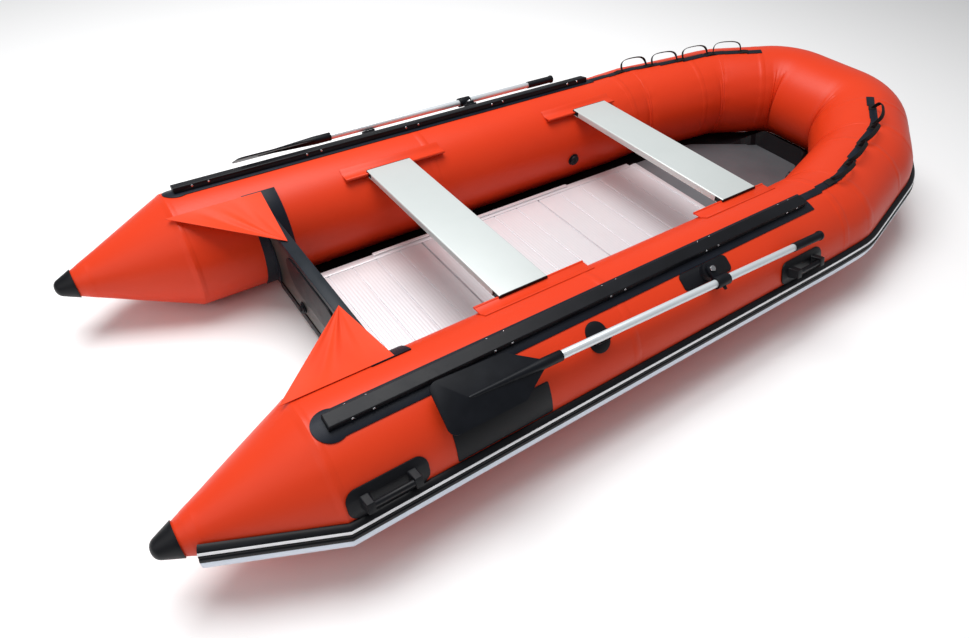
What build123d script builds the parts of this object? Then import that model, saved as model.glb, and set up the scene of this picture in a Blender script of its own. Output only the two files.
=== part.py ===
from build123d import *
import os
from math import acos, asin, ceil, cos, degrees, hypot, radians, sin, sqrt, tan

# Inflatable dinghy with an aluminium floor, two sliding benches and a pair of oars.
# Millimetres. +X is forward, +Y is port, +Z is up. The origin is under the middle of the
# boat, on the ground that the air tubes rest on.
# A "station" is a distance forward of the place where the stern cones begin.
# A "tube angle" is measured round an air tube: 0 points outboard, 90 up, 180 inboard.
# side is +1 for port and -1 for starboard.

os.makedirs("parts", exist_ok=True)

# ---- air tubes ----
tube_radius = 225.0
tube_spacing = 1228.0           # between the centre lines of the two side tubes
cone_length = 438.0
cone_tip_radius = 22.0
side_length = 2366.0            # cones to the first bow corner
bow_taper_length = 491.0        # first bow corner to the second, along the boat
bow_taper_inset = 128.0
bow_corner_length = 320.0       # second bow corner to the front tube
bow_front_half = 238.0          # half of the straight front tube
bow_corner_radii = (290.0, 290.0, 235.0)
sheer_start = 2100.0            # the bow lifts from this station on
sheer_rise = 105.0
sheer_power = 1.7
bow_leg = 165.0                 # longest straight fabric panel in the bow
bow_turn = 9.0                  # largest bend between two panels, degrees
baffle_thickness = 2.0
baffle_margin = 8.0             # the diaphragm's edge is this far inside the skin
cone_cap_length = 60.0
cone_cap_wall = 4.0
cone_cap_nose = 8.0             # closed end past the tip of the cone
glue_gap = 0.4                  # bonded patches stand off the tube skin by the glue line
fit_gap = 0.5                   # loose pieces that lie side by side

# ---- hull bottom and keel ----
hull_skin = 3.0
hull_inset = 62.0               # the bottom meets the tubes this far inboard of their centres
keel_clearance = 2.0            # keel line above the ground
keel_width = 260.0
keel_height = 70.0
keel_start = 345.0
keel_end = 2095.0

# ---- transom ----
transom_station = 275.0         # aft face at the top edge
transom_thickness = 37.0
transom_top = 400.0
transom_bottom = 34.0
transom_rake = 4.0              # degrees, top leaning aft
top_cap_length = 820.0
top_cap_wall = 3.0
top_cap_skirt = 24.0
motor_pad_width = 420.0
motor_pad_height = 165.0
motor_pad_thickness = 8.0
motor_pad_corner = 75.0
bottom_strip_height = 46.0
bottom_strip_thickness = 4.0
holder_wall = 4.0
holder_aft = 40.0
holder_forward = 52.0
holder_lip = 22.0
holder_lip_wall = 6.0
holder_angles = (113.0, 226.0)
flap_thickness = 4.0
flap_aft_station = -30.0
flap_forward_station = 322.0
flap_angle = 114.0
flap_reach = 205.0              # half distance between the two flaps' inner corners

# ---- drain ----
drain_y = 170.0
drain_z = 120.0
drain_radius = 11.0
drain_wall = 4.0
drain_flange = 24.0
drain_flange_thickness = 4.0
plug_gap = 0.3

# ---- floor ----
floor_top = 95.0
floor_thickness = 12.0
floor_half_width = 336.0
floor_start = 346.0
floor_seam = 3.0
board_length = 645.0            # pitch of the seams
first_seam = 900.0
groove_pitch = 107.5
groove_width = 5.0
groove_depth = 1.6
stringer_width = 34.0
stringer_wall = 2.5
stringer_lip = 15.0             # how far the channel laps over a board
stringer_joiner_start = 676.0
stringer_joiner_end = 1741.0
stringer_joiner_width = 17.0
stringer_joiner_height = 9.0
joint_strip_width = 30.0
joint_strip_wall = 2.5
bow_board_straight = 2616.0
bow_board_front = 2970.0
bow_board_front_half = 125.0
bow_board_mid_half = 345.0
bow_board_thickness = 12.0

# ---- benches ----
seat_stations = (840.0, 1937.0)
seat_width = 202.0
seat_half_length = 466.0
seat_top = 429.0
seat_thickness = 28.0
seat_wall = 2.5
seat_cap_flange = 3.0
seat_cap_depth = 34.0
seat_cap_gap = 0.4
seat_travel = 100.0             # each way from where the bench sits
rail_spans = ((645.0, 1105.0), (1680.0, 2095.0))
rail_bead_radius = 5.5
rail_web = 5.0
rail_bead_inset = 9.0           # bead centre inside the bench's end face
rail_slot_gap = 0.8
rail_base_girth = 62.0
rail_base_wall = 2.0

# ---- side rails along the top of the tubes ----
side_rail_angle = 78.5
side_rail_start = 42.0
side_rail_end = 2065.0
side_rail_width = 46.0
side_rail_height = 25.0         # above the tube skin
side_rail_wall = 4.0
side_rail_top = 5.0
tape_wall = 2.2
tape_girth = 94.0
tape_angle = 77.5
tape_end = 2098.0
tape_disc_radius = 52.0
tape_disc_station = 54.0
lug_length = 96.0
bolt_first = 141.0
bolt_pitch = 457.0
bolt_pairs = 5
bolt_pair_gap = 62.0
bolt_radius = 2.5
bolt_head_radius = 5.0
bolt_head_height = 3.0
bolt_drop = 8.5                 # bolt line below the top of the rail
bolt_gap = 0.2

# ---- rub rail round the outside ----
rub_proud = 28.0
rub_face = (                    # tube angle, and height off the tube, up the rail's face
    (-15.0, 3.0), (-12.5, 23.0), (-9.0, rub_proud), (-3.0, 25.5),
    (2.6, 20.5), (5.0, 18.5), (6.4, 15.0), (8.0, 3.0),
)
rub_pale = (-12.5, -3.0)
rub_white = (2.6, 5.0)
rub_back_facets = 8
rub_inlay = 2.5
rub_inlay_gap = 0.3
rub_lift = 0.4                  # the rail stands this much further off the cones
rub_tip_margin = 105.0          # the rail stops this far short of the cone's tip

# ---- grab lines at the bow ----
grab_start = 2103.0             # along the tube's centre line
grab_end = 3130.0
grab_angle_start = 81.5
grab_angle_end = 98.0
grab_girth = 34.0
grab_first_bar = 2300.0
grab_pitch = 184.0
grab_loops = 4
grab_loop_length = 148.0
grab_loop_height = 52.0
grab_loop_strap = 4.0
grab_loop_width = 18.0
grab_loop_lean = 35.0             # degrees, outboard

# ---- carrying handles ----
handle_stations = (128.0, 1924.0)
handle_angle = 19.8
handle_length = 245.0
handle_girth = 92.0
handle_pad = 4.0
handle_corner = 34.0
handle_bar_radius = 9.0
handle_bar_height = 33.0
handle_lug_length = 34.0
handle_lug_width = 44.0
handle_span = 176.0             # between the lugs' outer ends

# ---- oars ----
pin_station = 1434.0
pin_angle = 57.0
oar_height = 271.0              # the oar's plane, measured from the tube's centre line
oar_tip_station = 316.0
oar_grip_station = 1985.0
oar_tip_offset = 20.0           # outboard of the pin's line, at the blade's tip
oar_grip_offset = 68.0
shaft_radius = 14.0
shaft_wall = 1.6
blade_length = 345.0
blade_half_width = 81.0
blade_shoulder = 95.0
blade_corner = 28.0
blade_thickness = 5.0
blade_socket_radius = 17.5
blade_socket_length = 72.0
blade_spine_length = 250.0
shaft_in_socket = 60.0
grip_length = 160.0
grip_radius = 16.5
grip_in = 45.0
collar_length = 60.0
collar_wall = 7.0
collar_arm_thickness = 11.0
collar_arm_radius = 20.0
collar_nub_radius = 7.0
collar_nub_length = 14.0
oarlock_length = 238.0
oarlock_girth = 66.0
oarlock_wall = 3.0
oarlock_boss_radius = 30.0
oarlock_boss_gap = 0.6
pin_radius = 6.0
pin_gap = 0.05
pin_head_radius = 12.0
pin_head_height = 6.0
oar_swing_gap = 20.0            # arm's middle is this far under the oar's plane
rest_station = 911.0
rest_angle = 49.0
rest_length = 80.0
rest_girth = 106.0
rest_wall = 3.0
rest_saddle = 36.0

# ---- small patches, valves and the towing ring ----
label_station = 514.0
label_angle = 22.5
label_length = 344.0
label_girth = 108.0
label_wall = 1.0
valve_station = 1806.0
valve_drop = 17.0
bow_valve_route = 2600.0
valve_flange_radius = 29.0
valve_flange_thickness = 3.0
valve_neck_radius = 18.0
valve_neck_height = 9.0
valve_bore_radius = 12.0
valve_cap_radius = 24.0
valve_cap_height = 11.0
valve_cap_wall = 3.0
tow_patch_radius = 60.0
tow_patch_wall = 4.0
tow_angle = 33.0                # below the front of the tube
tow_bar_radius = 4.0
tow_ring_half = 27.0
tow_ring_drop = 52.0
tow_sleeve_gap = 0.1

# ---- worked-out places ----
tube_half = tube_spacing / 2
corner_one = side_length
corner_two = corner_one + bow_taper_length
bow_front = corner_two + bow_corner_length
hull_length = cone_length + cone_cap_nose + bow_front + tube_radius + rub_proud
station_zero = cone_length + cone_cap_nose - hull_length / 2
skin = tube_radius + glue_gap
spare = 70.0                    # extra length that a mitre or a cutting tool takes
finished = {}


def at(station):
    """X of a station."""
    return station + station_zero


def keep(piece, name):
    """Label a finished piece and write it to its own file."""
    solid = piece.part if isinstance(piece, BuildPart) else piece
    solid.label = name
    export_step(solid, "parts/" + name + ".step")
    finished[name] = solid


# ---- places on and round the tubes ----
def out_of(side, angle):
    """Unit vector that points out of a side tube at a tube angle."""
    return Vector(0, side * cos(radians(angle)), sin(radians(angle)))


def tube_axis(side, station):
    return Vector(at(station), side * tube_half, tube_radius)


def section_plane(side, station):
    """Plane across a side tube: local X is outboard and local Y is up."""
    return Plane(origin=tube_axis(side, station), x_dir=(0, side, 0), z_dir=(side, 0, 0))


def tangent_plane(side, station, angle, height):
    """Plane that lies over the tube at a tube angle: local X is forward."""
    out = out_of(side, angle)
    return Plane(origin=tube_axis(side, station) + out * height, x_dir=(1, 0, 0), z_dir=out)


def sector(inner, outer, start, end):
    """Sketch a ring sector about the middle of the sketch."""
    sweep_angle = end - start
    with BuildLine() as edge:
        low = CenterArc((0, 0), inner, start, sweep_angle)
        high = CenterArc((0, 0), outer, start, sweep_angle)
        Line(low @ 0, high @ 0)
        Line(low @ 1, high @ 1)
    make_face(edge.line)


def along_tube(side, start, end, outline):
    """Extrude an outline along a straight side tube between two stations."""
    first = start if side > 0 else end
    with BuildPart() as strip:
        with BuildSketch(section_plane(side, first)):
            outline()
        extrude(amount=end - start)
    return strip.part


def wrapped(side, angle, start, end, wall, plan, base=skin):
    """A patch of one thickness that follows the tube and has the plan drawn by plan()."""
    half = 40.0
    shell = along_tube(side, start, end, lambda: sector(base, base + wall, angle - half, angle + half))
    with BuildPart() as patch:
        add(shell)
        with BuildSketch(tangent_plane(side, 0, angle, tube_radius / 2)):
            plan()
        extrude(amount=tube_radius, mode=Mode.INTERSECT)
    return patch.part


def chord(girth):
    """Straight width of a strip that is girth wide round the tube."""
    return 2 * tube_radius * sin(girth / 2 / tube_radius)


def drum(side, start, end, radius):
    """A cylinder on the axis of a side tube, for cutting seats in what lies on it."""
    return along_tube(side, start, end, lambda: Circle(radius))


# ---- the route of the tubes round the bow ----
def sheer(station):
    run = max(station - sheer_start, 0.0) / (bow_front - sheer_start)
    return sheer_rise * run ** sheer_power


def corner_arc(before, corner, after, radius):
    """Points along the arc that rounds a corner of the bow's plan."""
    into = (corner - before).normalized()
    out = (after - corner).normalized()
    turn = into.get_angle(out)
    start = corner - into * radius * tan(radians(turn / 2))
    centre = start + Vector(into.Y, -into.X) * radius
    steps = ceil(turn / bow_turn)
    return [centre + (start - centre).rotate(Axis.Z, -turn * k / steps) for k in range(steps + 1)]


def bow_plan():
    """Plan of the port half of the bow, from the end of the straight tube to the middle."""
    corners = [
        Vector(sheer_start, tube_half),
        Vector(corner_one, tube_half),
        Vector(corner_two, tube_half - bow_taper_inset),
        Vector(bow_front, bow_front_half),
        Vector(bow_front, 0),
    ]
    points = [corners[0]]
    for k, radius in enumerate(bow_corner_radii, start=1):
        points += corner_arc(corners[k - 1], corners[k], corners[k + 1], radius)
    points.append(corners[-1])
    return points


def bow_route():
    """Centre line of the bow tube, from the port side round to the starboard side."""
    plan = bow_plan()
    half = [plan[0]]
    for before, after in zip(plan, plan[1:]):
        steps = ceil((after - before).length / bow_leg)
        half += [before + (after - before) * (k / steps) for k in range(1, steps + 1)]
    port = [Vector(at(p.X), p.Y, tube_radius + sheer(p.X)) for p in half]
    starboard = [Vector(p.X, -p.Y, p.Z) for p in reversed(port[:-1])]
    return port + starboard


def route_lengths(route):
    """Distance along the route at each of its points, counted from station zero."""
    lengths = [sheer_start]
    for before, after in zip(route, route[1:]):
        lengths.append(lengths[-1] + (after - before).length)
    return lengths


def mitre(before, here, after):
    """Plane that halves the angle between two legs of a route."""
    direction = Vector(0, 0, 0)
    if before is not None:
        direction += (here - before).normalized()
    if after is not None:
        direction += (after - here).normalized()
    return Plane(origin=here, z_dir=direction)


def leg(outline, start, end, first_cut, last_cut):
    """Extrude an outline from start to end and trim it at two mitre planes."""
    along = (end - start).normalized()
    outward = Vector(0, 0, 1).cross(along).normalized()
    with BuildPart() as piece:
        with BuildSketch(Plane(origin=start - along * spare, x_dir=outward, z_dir=along)):
            outline()
        extrude(amount=(end - start).length + 2 * spare)
        split(bisect_by=first_cut, keep=Keep.TOP)
        split(bisect_by=last_cut, keep=Keep.BOTTOM)
    return piece.part


def mitred(route, outlines, first_cut=None, last_cut=None):
    """Join one leg for each span of the route; outlines gives each leg's section."""
    cuts = [mitre(None, route[0], route[1])]
    cuts += [mitre(*route[k - 1:k + 2]) for k in range(1, len(route) - 1)]
    cuts.append(mitre(route[-2], route[-1], None))
    cuts[0] = first_cut or cuts[0]
    cuts[-1] = last_cut or cuts[-1]
    spans = range(len(route) - 1)
    return [leg(outlines[k], route[k], route[k + 1], cuts[k], cuts[k + 1]) for k in spans]


def joined(legs):
    with BuildPart() as run:
        for piece in legs:
            add(piece)
    return run.part


route = bow_route()
lengths = route_lengths(route)
bow_ends = (Plane(origin=route[0], z_dir=(1, 0, 0)), Plane(origin=route[-1], z_dir=(-1, 0, 0)))


def on_route(length):
    """Point and direction on the port half of the route at a distance along it."""
    k = max(i for i in range(len(lengths) - 1) if lengths[i] <= length)
    along = (route[k + 1] - route[k]).normalized()
    return route[k] + along * (length - lengths[k]), along


def mirrored(point):
    return Vector(point.X, -point.Y, point.Z)


# ---- air chambers ----
def side_chamber(side):
    """Straight side tube with its stern cone and the seat of the diaphragm."""
    chamber_end = sheer_start
    with BuildPart() as chamber:
        with BuildSketch(Plane(origin=tube_axis(side, 0), x_dir=(1, 0, 0), z_dir=(0, -1, 0))):
            with BuildLine():
                Polyline(
                    (-cone_length, 0), (-cone_length, cone_tip_radius), (0, tube_radius),
                    (chamber_end, tube_radius), (chamber_end, 0), close=True,
                )
            make_face()
        revolve(axis=Axis(tube_axis(side, 0), (1, 0, 0)))
        with BuildSketch(Plane(origin=tube_axis(side, chamber_end), z_dir=(-1, 0, 0))):
            Circle(tube_radius - baffle_margin)
        extrude(amount=baffle_thickness, mode=Mode.SUBTRACT)
    return chamber


def baffle(side):
    """Diaphragm that parts a side chamber from the bow chamber."""
    with BuildPart() as disc:
        with BuildSketch(Plane(origin=tube_axis(side, sheer_start), z_dir=(-1, 0, 0))):
            Circle(tube_radius - baffle_margin - rub_inlay_gap)
        extrude(amount=baffle_thickness - rub_inlay_gap)
    return disc.part


keep(side_chamber(1), "air_chamber_port")
keep(side_chamber(-1), "air_chamber_starboard")
keep(joined(mitred(route, [lambda: Circle(tube_radius)] * (len(route) - 1), *bow_ends)), "air_chamber_bow")
keep(Compound(children=[baffle(1), baffle(-1)]), "chamber_baffles")

# ---- rubber caps on the stern cones ----
cone_slope = (tube_radius - cone_tip_radius) / cone_length
cone_tilt = sqrt(1 + cone_slope ** 2)


def cone_cap(side):
    """Cup over the tip of a stern cone, with a rounded nose."""
    inner_tip = cone_tip_radius + glue_gap * cone_tilt
    outer_tip = inner_tip + cone_cap_wall * cone_tilt
    rise = cone_slope * cone_cap_length
    back = -cone_length - cone_cap_nose
    with BuildPart() as cap:
        with BuildSketch(Plane(origin=tube_axis(side, 0), x_dir=(1, 0, 0), z_dir=(0, -1, 0))):
            with BuildLine():
                nose = Spline(
                    (back, 0), (-cone_length + 10, outer_tip + cone_slope * 10),
                    tangents=[(0, 1), (1, cone_slope)],
                )
                Polyline(
                    nose @ 1, (-cone_length + cone_cap_length, outer_tip + rise),
                    (-cone_length + cone_cap_length, inner_tip + rise),
                    (-cone_length - glue_gap, inner_tip), (-cone_length - glue_gap, 0), nose @ 0,
                )
            make_face()
        revolve(axis=Axis(tube_axis(side, 0), (1, 0, 0)))
    return cap.part


keep(Compound(children=[cone_cap(1), cone_cap(-1)]), "cone_caps")


# ---- keel tube and hull bottom ----
with BuildPart() as keel_tube:
    keel_middle = keel_clearance + hull_skin + fit_gap + keel_height / 2
    with BuildSketch(Plane(origin=(at(keel_start), 0, keel_middle), x_dir=(0, 1, 0), z_dir=(1, 0, 0))):
        Ellipse(keel_width / 2, keel_height / 2)
    extrude(amount=keel_end - keel_start)
keep(keel_tube, "keel_tube")


def tube_underside(offset):
    """Height of the tube's underside above its lowest line, at an offset from its centre."""
    return tube_radius - sqrt(tube_radius ** 2 - offset ** 2)


def hull_section(station, edge, edge_z, keel_z):
    """One cross-section of the hull bottom: a shallow V of one thickness."""
    with BuildSketch(Plane(origin=(at(station), 0, 0), x_dir=(0, 1, 0), z_dir=(1, 0, 0))) as section:
        with BuildLine():
            Polyline(
                (0, keel_z), (edge, edge_z), (edge, edge_z + hull_skin), (0, keel_z + hull_skin),
                (-edge, edge_z + hull_skin), (-edge, edge_z), close=True,
            )
        make_face()
    return section.sketch


def tube_offset_at(station):
    """Half distance between the tubes' centre lines at a station."""
    if station <= corner_one:
        return tube_half
    if station <= corner_two:
        return tube_half - bow_taper_inset * (station - corner_one) / bow_taper_length
    drop = tube_half - bow_taper_inset - bow_front_half
    return tube_half - bow_taper_inset - drop * (station - corner_two) / bow_corner_length


hull_start = transom_station + transom_thickness + 50
hull_stations = [
    (hull_start, 1.0), (sheer_start, 1.0), (corner_one, 1.15), (corner_two, 1.7),
    (corner_two + bow_corner_length / 2, 2.2), (bow_front - 90, 2.3),
]
hull_sections = []
for hull_station, spread in hull_stations:
    hull_edge = tube_offset_at(hull_station) - hull_inset * spread
    edge_clear = tube_underside(hull_inset) - hull_skin - fit_gap
    lift = sheer(hull_station)
    hull_sections.append(hull_section(
        hull_station, hull_edge, lift * 0.94 + edge_clear, keel_clearance + lift * 0.8,
    ))
with BuildPart() as hull_bottom:
    for before, after in zip(hull_sections, hull_sections[1:]):
        add(loft([before, after], ruled=True, mode=Mode.PRIVATE))
keep(hull_bottom, "hull_bottom")


# ---- transom ----
rake_up = Vector(-sin(radians(transom_rake)), 0, cos(radians(transom_rake)))
rake_forward = Vector(cos(radians(transom_rake)), 0, sin(radians(transom_rake)))
transom_height = (transom_top - transom_bottom) / cos(radians(transom_rake))
holder_skin = skin + holder_wall + fit_gap


def transom_plane(depth, drop=0.0):
    """Plane in the transom: depth is forward of its aft face, drop is down from its top."""
    top = Vector(at(transom_station), 0, transom_top)
    return Plane(
        origin=top + rake_forward * depth - rake_up * drop, x_dir=(0, 1, 0), z_dir=rake_forward,
    )


def transom_slab(depth, thickness, width, drop, height):
    """A plate that lies along the transom, trimmed to the tubes and their holders."""
    with BuildPart() as slab:
        with BuildSketch(transom_plane(depth, drop + height / 2)):
            Rectangle(width, height)
        extrude(amount=thickness)
        for side in (1, -1):
            add(drum(side, 0, transom_station + 3 * spare, holder_skin), mode=Mode.SUBTRACT)
    return slab.part


with BuildPart() as transom_board:
    add(transom_slab(0, transom_thickness, tube_spacing, 0, transom_height))
    with BuildSketch(Plane(origin=(at(transom_station), drain_y, drain_z), z_dir=(1, 0, 0))):
        Circle(drain_radius + drain_wall + plug_gap)
    extrude(amount=3 * spare, both=True, mode=Mode.SUBTRACT)
keep(transom_board, "transom_board")

with BuildPart() as transom_top_cap:
    outer_depth = transom_thickness + 2 * (top_cap_wall + fit_gap)
    with BuildSketch(transom_plane(-top_cap_wall - fit_gap, top_cap_skirt / 2 - top_cap_wall / 2)):
        Rectangle(top_cap_length, top_cap_skirt + top_cap_wall)
    extrude(amount=outer_depth)
    with BuildSketch(transom_plane(-fit_gap, spare / 2 - fit_gap)):
        Rectangle(top_cap_length + spare, spare)
    extrude(amount=transom_thickness + 2 * fit_gap, mode=Mode.SUBTRACT)
    for hull_side in (1, -1):
        add(drum(hull_side, 0, transom_station + 3 * spare, holder_skin), mode=Mode.SUBTRACT)
keep(transom_top_cap, "transom_top_cap")

pad_drop = top_cap_skirt + 2
with BuildPart() as motor_pad:
    with BuildSketch(transom_plane(-motor_pad_thickness - fit_gap, pad_drop + motor_pad_height / 2)) as pad_face:
        Rectangle(motor_pad_width, motor_pad_height)
        fillet(pad_face.vertices().group_by(Axis.Z)[0], motor_pad_corner)
    extrude(amount=motor_pad_thickness)
    chamfer(motor_pad.faces().sort_by(Axis.X)[0].edges(), 2)
keep(motor_pad, "motor_pad")

strip_drop = transom_height - bottom_strip_height - 2
keep(
    transom_slab(-bottom_strip_thickness - fit_gap, bottom_strip_thickness, 860, strip_drop, bottom_strip_height),
    "transom_bottom_strip",
)


def holder(side):
    """Rubber channel on a tube's inner side that grips the edge of the transom."""
    low, high = holder_angles
    middle = transom_station + transom_thickness / 2 + 12
    first = middle - transom_thickness / 2 - holder_aft
    last = middle + transom_thickness / 2 + holder_forward
    lip_inner = skin + holder_wall - 0.5
    with BuildPart() as lips:
        for depth in (-holder_lip_wall - fit_gap, transom_thickness + fit_gap):
            with BuildSketch(transom_plane(depth, transom_height / 2)):
                Rectangle(tube_spacing * 2, transom_height - 60)
            extrude(amount=holder_lip_wall)
        add(
            along_tube(
                side, 0, transom_station + 3 * spare,
                lambda: sector(lip_inner, skin + holder_wall + holder_lip, low, high),
            ),
            mode=Mode.INTERSECT,
        )
    with BuildPart() as channel:
        add(along_tube(side, first, last, lambda: sector(skin, skin + holder_wall, low, high)))
        add(lips.part)
        for depth, height in ((-top_cap_wall - 2 * fit_gap, top_cap_skirt + 4 * fit_gap),):
            with BuildSketch(transom_plane(depth, height / 2 - top_cap_wall)):
                Rectangle(top_cap_length + 2 * fit_gap, height + top_cap_wall)
            extrude(amount=transom_thickness + 2 * top_cap_wall + 4 * fit_gap, mode=Mode.SUBTRACT)
        with BuildSketch(transom_plane(-bottom_strip_thickness - 2 * fit_gap, strip_drop + spare / 2)):
            Rectangle(870, spare + 2)
        extrude(amount=bottom_strip_thickness + fit_gap, mode=Mode.SUBTRACT)
    return channel.part


keep(holder(1), "transom_holder_port")
keep(holder(-1), "transom_holder_starboard")


def splash_flap(side):
    """Three-cornered fabric gusset from the tube to the top of the transom."""
    lift = skin + flap_thickness
    aft = tube_axis(side, flap_aft_station) + out_of(side, flap_angle) * lift
    forward = tube_axis(side, flap_forward_station) + out_of(side, flap_angle) * lift
    inner_z = transom_top + top_cap_wall + 3
    inner = Vector(at(transom_station + transom_thickness / 2), side * flap_reach, inner_z)
    face = Plane(origin=aft, x_dir=(1, 0, 0), z_dir=(forward - aft).cross(inner - aft) * side * -1)
    corners = [face.to_local_coords(p) for p in (aft, forward, inner)]
    with BuildPart() as flap:
        with BuildSketch(face):
            with BuildLine():
                Polyline(*[(c.X, c.Y) for c in corners], close=True)
            make_face()
        extrude(amount=flap_thickness)
    return flap


keep(splash_flap(1), "splash_flap_port")
keep(splash_flap(-1), "splash_flap_starboard")

# ---- drain ----
drain_aft = transom_station + (transom_top - drain_z) * tan(radians(transom_rake))
drain_line = Plane(origin=(at(drain_aft), drain_y, drain_z), z_dir=(1, 0, 0))
flange_slack = drain_flange * tan(radians(transom_rake)) + fit_gap
with BuildPart() as drain_socket:
    with BuildSketch(drain_line.offset(-flange_slack)):
        Circle(drain_radius + drain_wall)
    extrude(amount=transom_thickness + 2 * flange_slack)
    with BuildSketch(drain_line.offset(-flange_slack)):
        Circle(drain_flange)
    extrude(amount=-drain_flange_thickness)
    with BuildSketch(drain_line.offset(-spare)):
        Circle(drain_radius)
    extrude(amount=3 * spare, mode=Mode.SUBTRACT)
keep(drain_socket, "drain_socket")

with BuildPart() as drain_plug:
    plug_face = drain_line.offset(-flange_slack - drain_flange_thickness - fit_gap)
    with BuildSketch(plug_face):
        Circle(drain_radius - plug_gap)
    extrude(amount=transom_thickness)
    with BuildSketch(plug_face):
        Circle(drain_flange - 6)
    extrude(amount=-4)
    with BuildSketch(plug_face.offset(-4)):
        RectangleRounded(28, 7, 3)
    extrude(amount=-9)
keep(drain_plug, "drain_plug")


# ---- floor ----
floor_bottom = floor_top - floor_thickness


def floorboard(start, end):
    """Aluminium board with shallow grooves across it."""
    count = int((end - start) / groove_pitch)
    middle = at((start + end) / 2)
    with BuildPart() as board:
        with BuildSketch(Plane.XY.offset(floor_bottom)):
            with Locations((middle, 0)):
                Rectangle(end - start, 2 * floor_half_width)
        extrude(amount=floor_thickness)
        with BuildSketch(Plane.XY.offset(floor_top)):
            with Locations((middle, 0)):
                with GridLocations(groove_pitch, 1, count, 1):
                    Rectangle(groove_width, 2 * floor_half_width)
        extrude(amount=-groove_depth, mode=Mode.SUBTRACT)
    return board


seams = [first_seam + k * board_length for k in range(3)]
board_starts = [floor_start, seams[0] + floor_seam, seams[1] + floor_seam]
board_names = ["floorboard_aft", "floorboard_middle", "floorboard_forward"]
strip_half = joint_strip_width / 2
for board_name, board_start, seam in zip(board_names, board_starts, seams):
    board_end = seam if board_name != board_names[-1] else seam - fit_gap
    keep(floorboard(board_start, board_end), board_name)

bow_board_start = seams[-1] + joint_strip_wall + fit_gap
with BuildPart() as bow_board:
    with BuildSketch(Plane.XY.offset(floor_top - bow_board_thickness)) as bow_outline:
        with BuildLine():
            Polyline(
                (at(bow_board_start), floor_half_width), (at(bow_board_straight), floor_half_width),
                (at(bow_board_front), bow_board_front_half), (at(bow_board_front), -bow_board_front_half),
                (at(bow_board_straight), -floor_half_width), (at(bow_board_start), -floor_half_width),
                close=True,
            )
        make_face()
        fillet(bow_outline.vertices().group_by(Axis.X)[-1], 70)
        fillet(bow_outline.vertices().group_by(Axis.X)[1], 120)
    extrude(amount=bow_board_thickness)
keep(bow_board, "bow_board")

with BuildPart() as floor_joint_strip:
    strip_length = 2 * floor_half_width - 2
    with BuildSketch(Plane(origin=(at(seams[-1]), 0, 0), x_dir=(1, 0, 0), z_dir=(0, 1, 0))):
        web_x = joint_strip_wall / 2
        with Locations((web_x, -(floor_top + fit_gap / 2 + joint_strip_wall / 2))):
            Rectangle(joint_strip_width, joint_strip_wall)
        with Locations((web_x, -(floor_bottom - fit_gap / 2 - joint_strip_wall / 2))):
            Rectangle(joint_strip_width, joint_strip_wall)
        with Locations((web_x, -(floor_top + floor_bottom) / 2)):
            Rectangle(joint_strip_wall, floor_thickness + 2 * joint_strip_wall)
    extrude(amount=strip_length / 2, both=True)
keep(floor_joint_strip, "floor_joint_strip")


def stringer(side):
    """Aluminium channel that holds the edges of the three boards."""
    outer = floor_half_width - stringer_lip + stringer_width
    depth = floor_thickness + 2 * (fit_gap + stringer_wall)
    low = floor_bottom - fit_gap - stringer_wall
    with BuildPart() as channel:
        with BuildSketch(Plane.XY.offset(low)):
            with Locations((at((floor_start + seams[-1]) / 2), side * (outer - stringer_width / 2))):
                Rectangle(seams[-1] - floor_start - 2 * joint_strip_width, stringer_width)
        extrude(amount=depth)
        with BuildSketch(Plane.XY.offset(floor_bottom - fit_gap)):
            with Locations((at((floor_start + seams[-1]) / 2), side * (floor_half_width / 2 + fit_gap / 2))):
                Rectangle(board_length * 4, floor_half_width + fit_gap)
        extrude(amount=floor_thickness + 2 * fit_gap, mode=Mode.SUBTRACT)
    return channel


def stringer_joiner(side):
    """Tube that locks the middle of the stringer on to its top edge."""
    outer = floor_half_width - stringer_lip + stringer_width
    base = floor_top + fit_gap + stringer_wall + rub_inlay_gap
    with BuildPart() as bar:
        with BuildSketch(Plane.XY.offset(base)):
            with Locations((
                at((stringer_joiner_start + stringer_joiner_end) / 2),
                side * (outer - stringer_joiner_width / 2),
            )):
                Rectangle(stringer_joiner_end - stringer_joiner_start, stringer_joiner_width)
        extrude(amount=stringer_joiner_height)
        fillet(bar.edges().filter_by(Axis.X), 2.5)
    return bar.part


keep(stringer(1), "stringer_port")
keep(stringer(-1), "stringer_starboard")
keep(Compound(children=[stringer_joiner(1), stringer_joiner(-1)]), "stringer_joiners")

# ---- benches and the rails that they slide on ----
seat_middle_z = seat_top - seat_thickness / 2
bead_y = seat_half_length - rail_bead_inset
rail_angle = 180 - degrees(asin((seat_middle_z - tube_radius) / tube_radius))


def seat_plank(station):
    """Hollow aluminium plank with two inner webs."""
    body_half = seat_half_length - seat_cap_flange - seat_cap_gap
    inner_height = seat_thickness - 2 * seat_wall
    cell = (seat_width - 4 * seat_wall) / 3
    with BuildPart() as plank:
        section = Plane(origin=(at(station), -body_half, seat_middle_z), x_dir=(1, 0, 0), z_dir=(0, 1, 0))
        with BuildSketch(section):
            RectangleRounded(seat_width, seat_thickness, 6)
            with GridLocations(cell + seat_wall, 1, 3, 1):
                RectangleRounded(cell, inner_height, 2.5, mode=Mode.SUBTRACT)
        extrude(amount=2 * body_half)
    return plank


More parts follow.
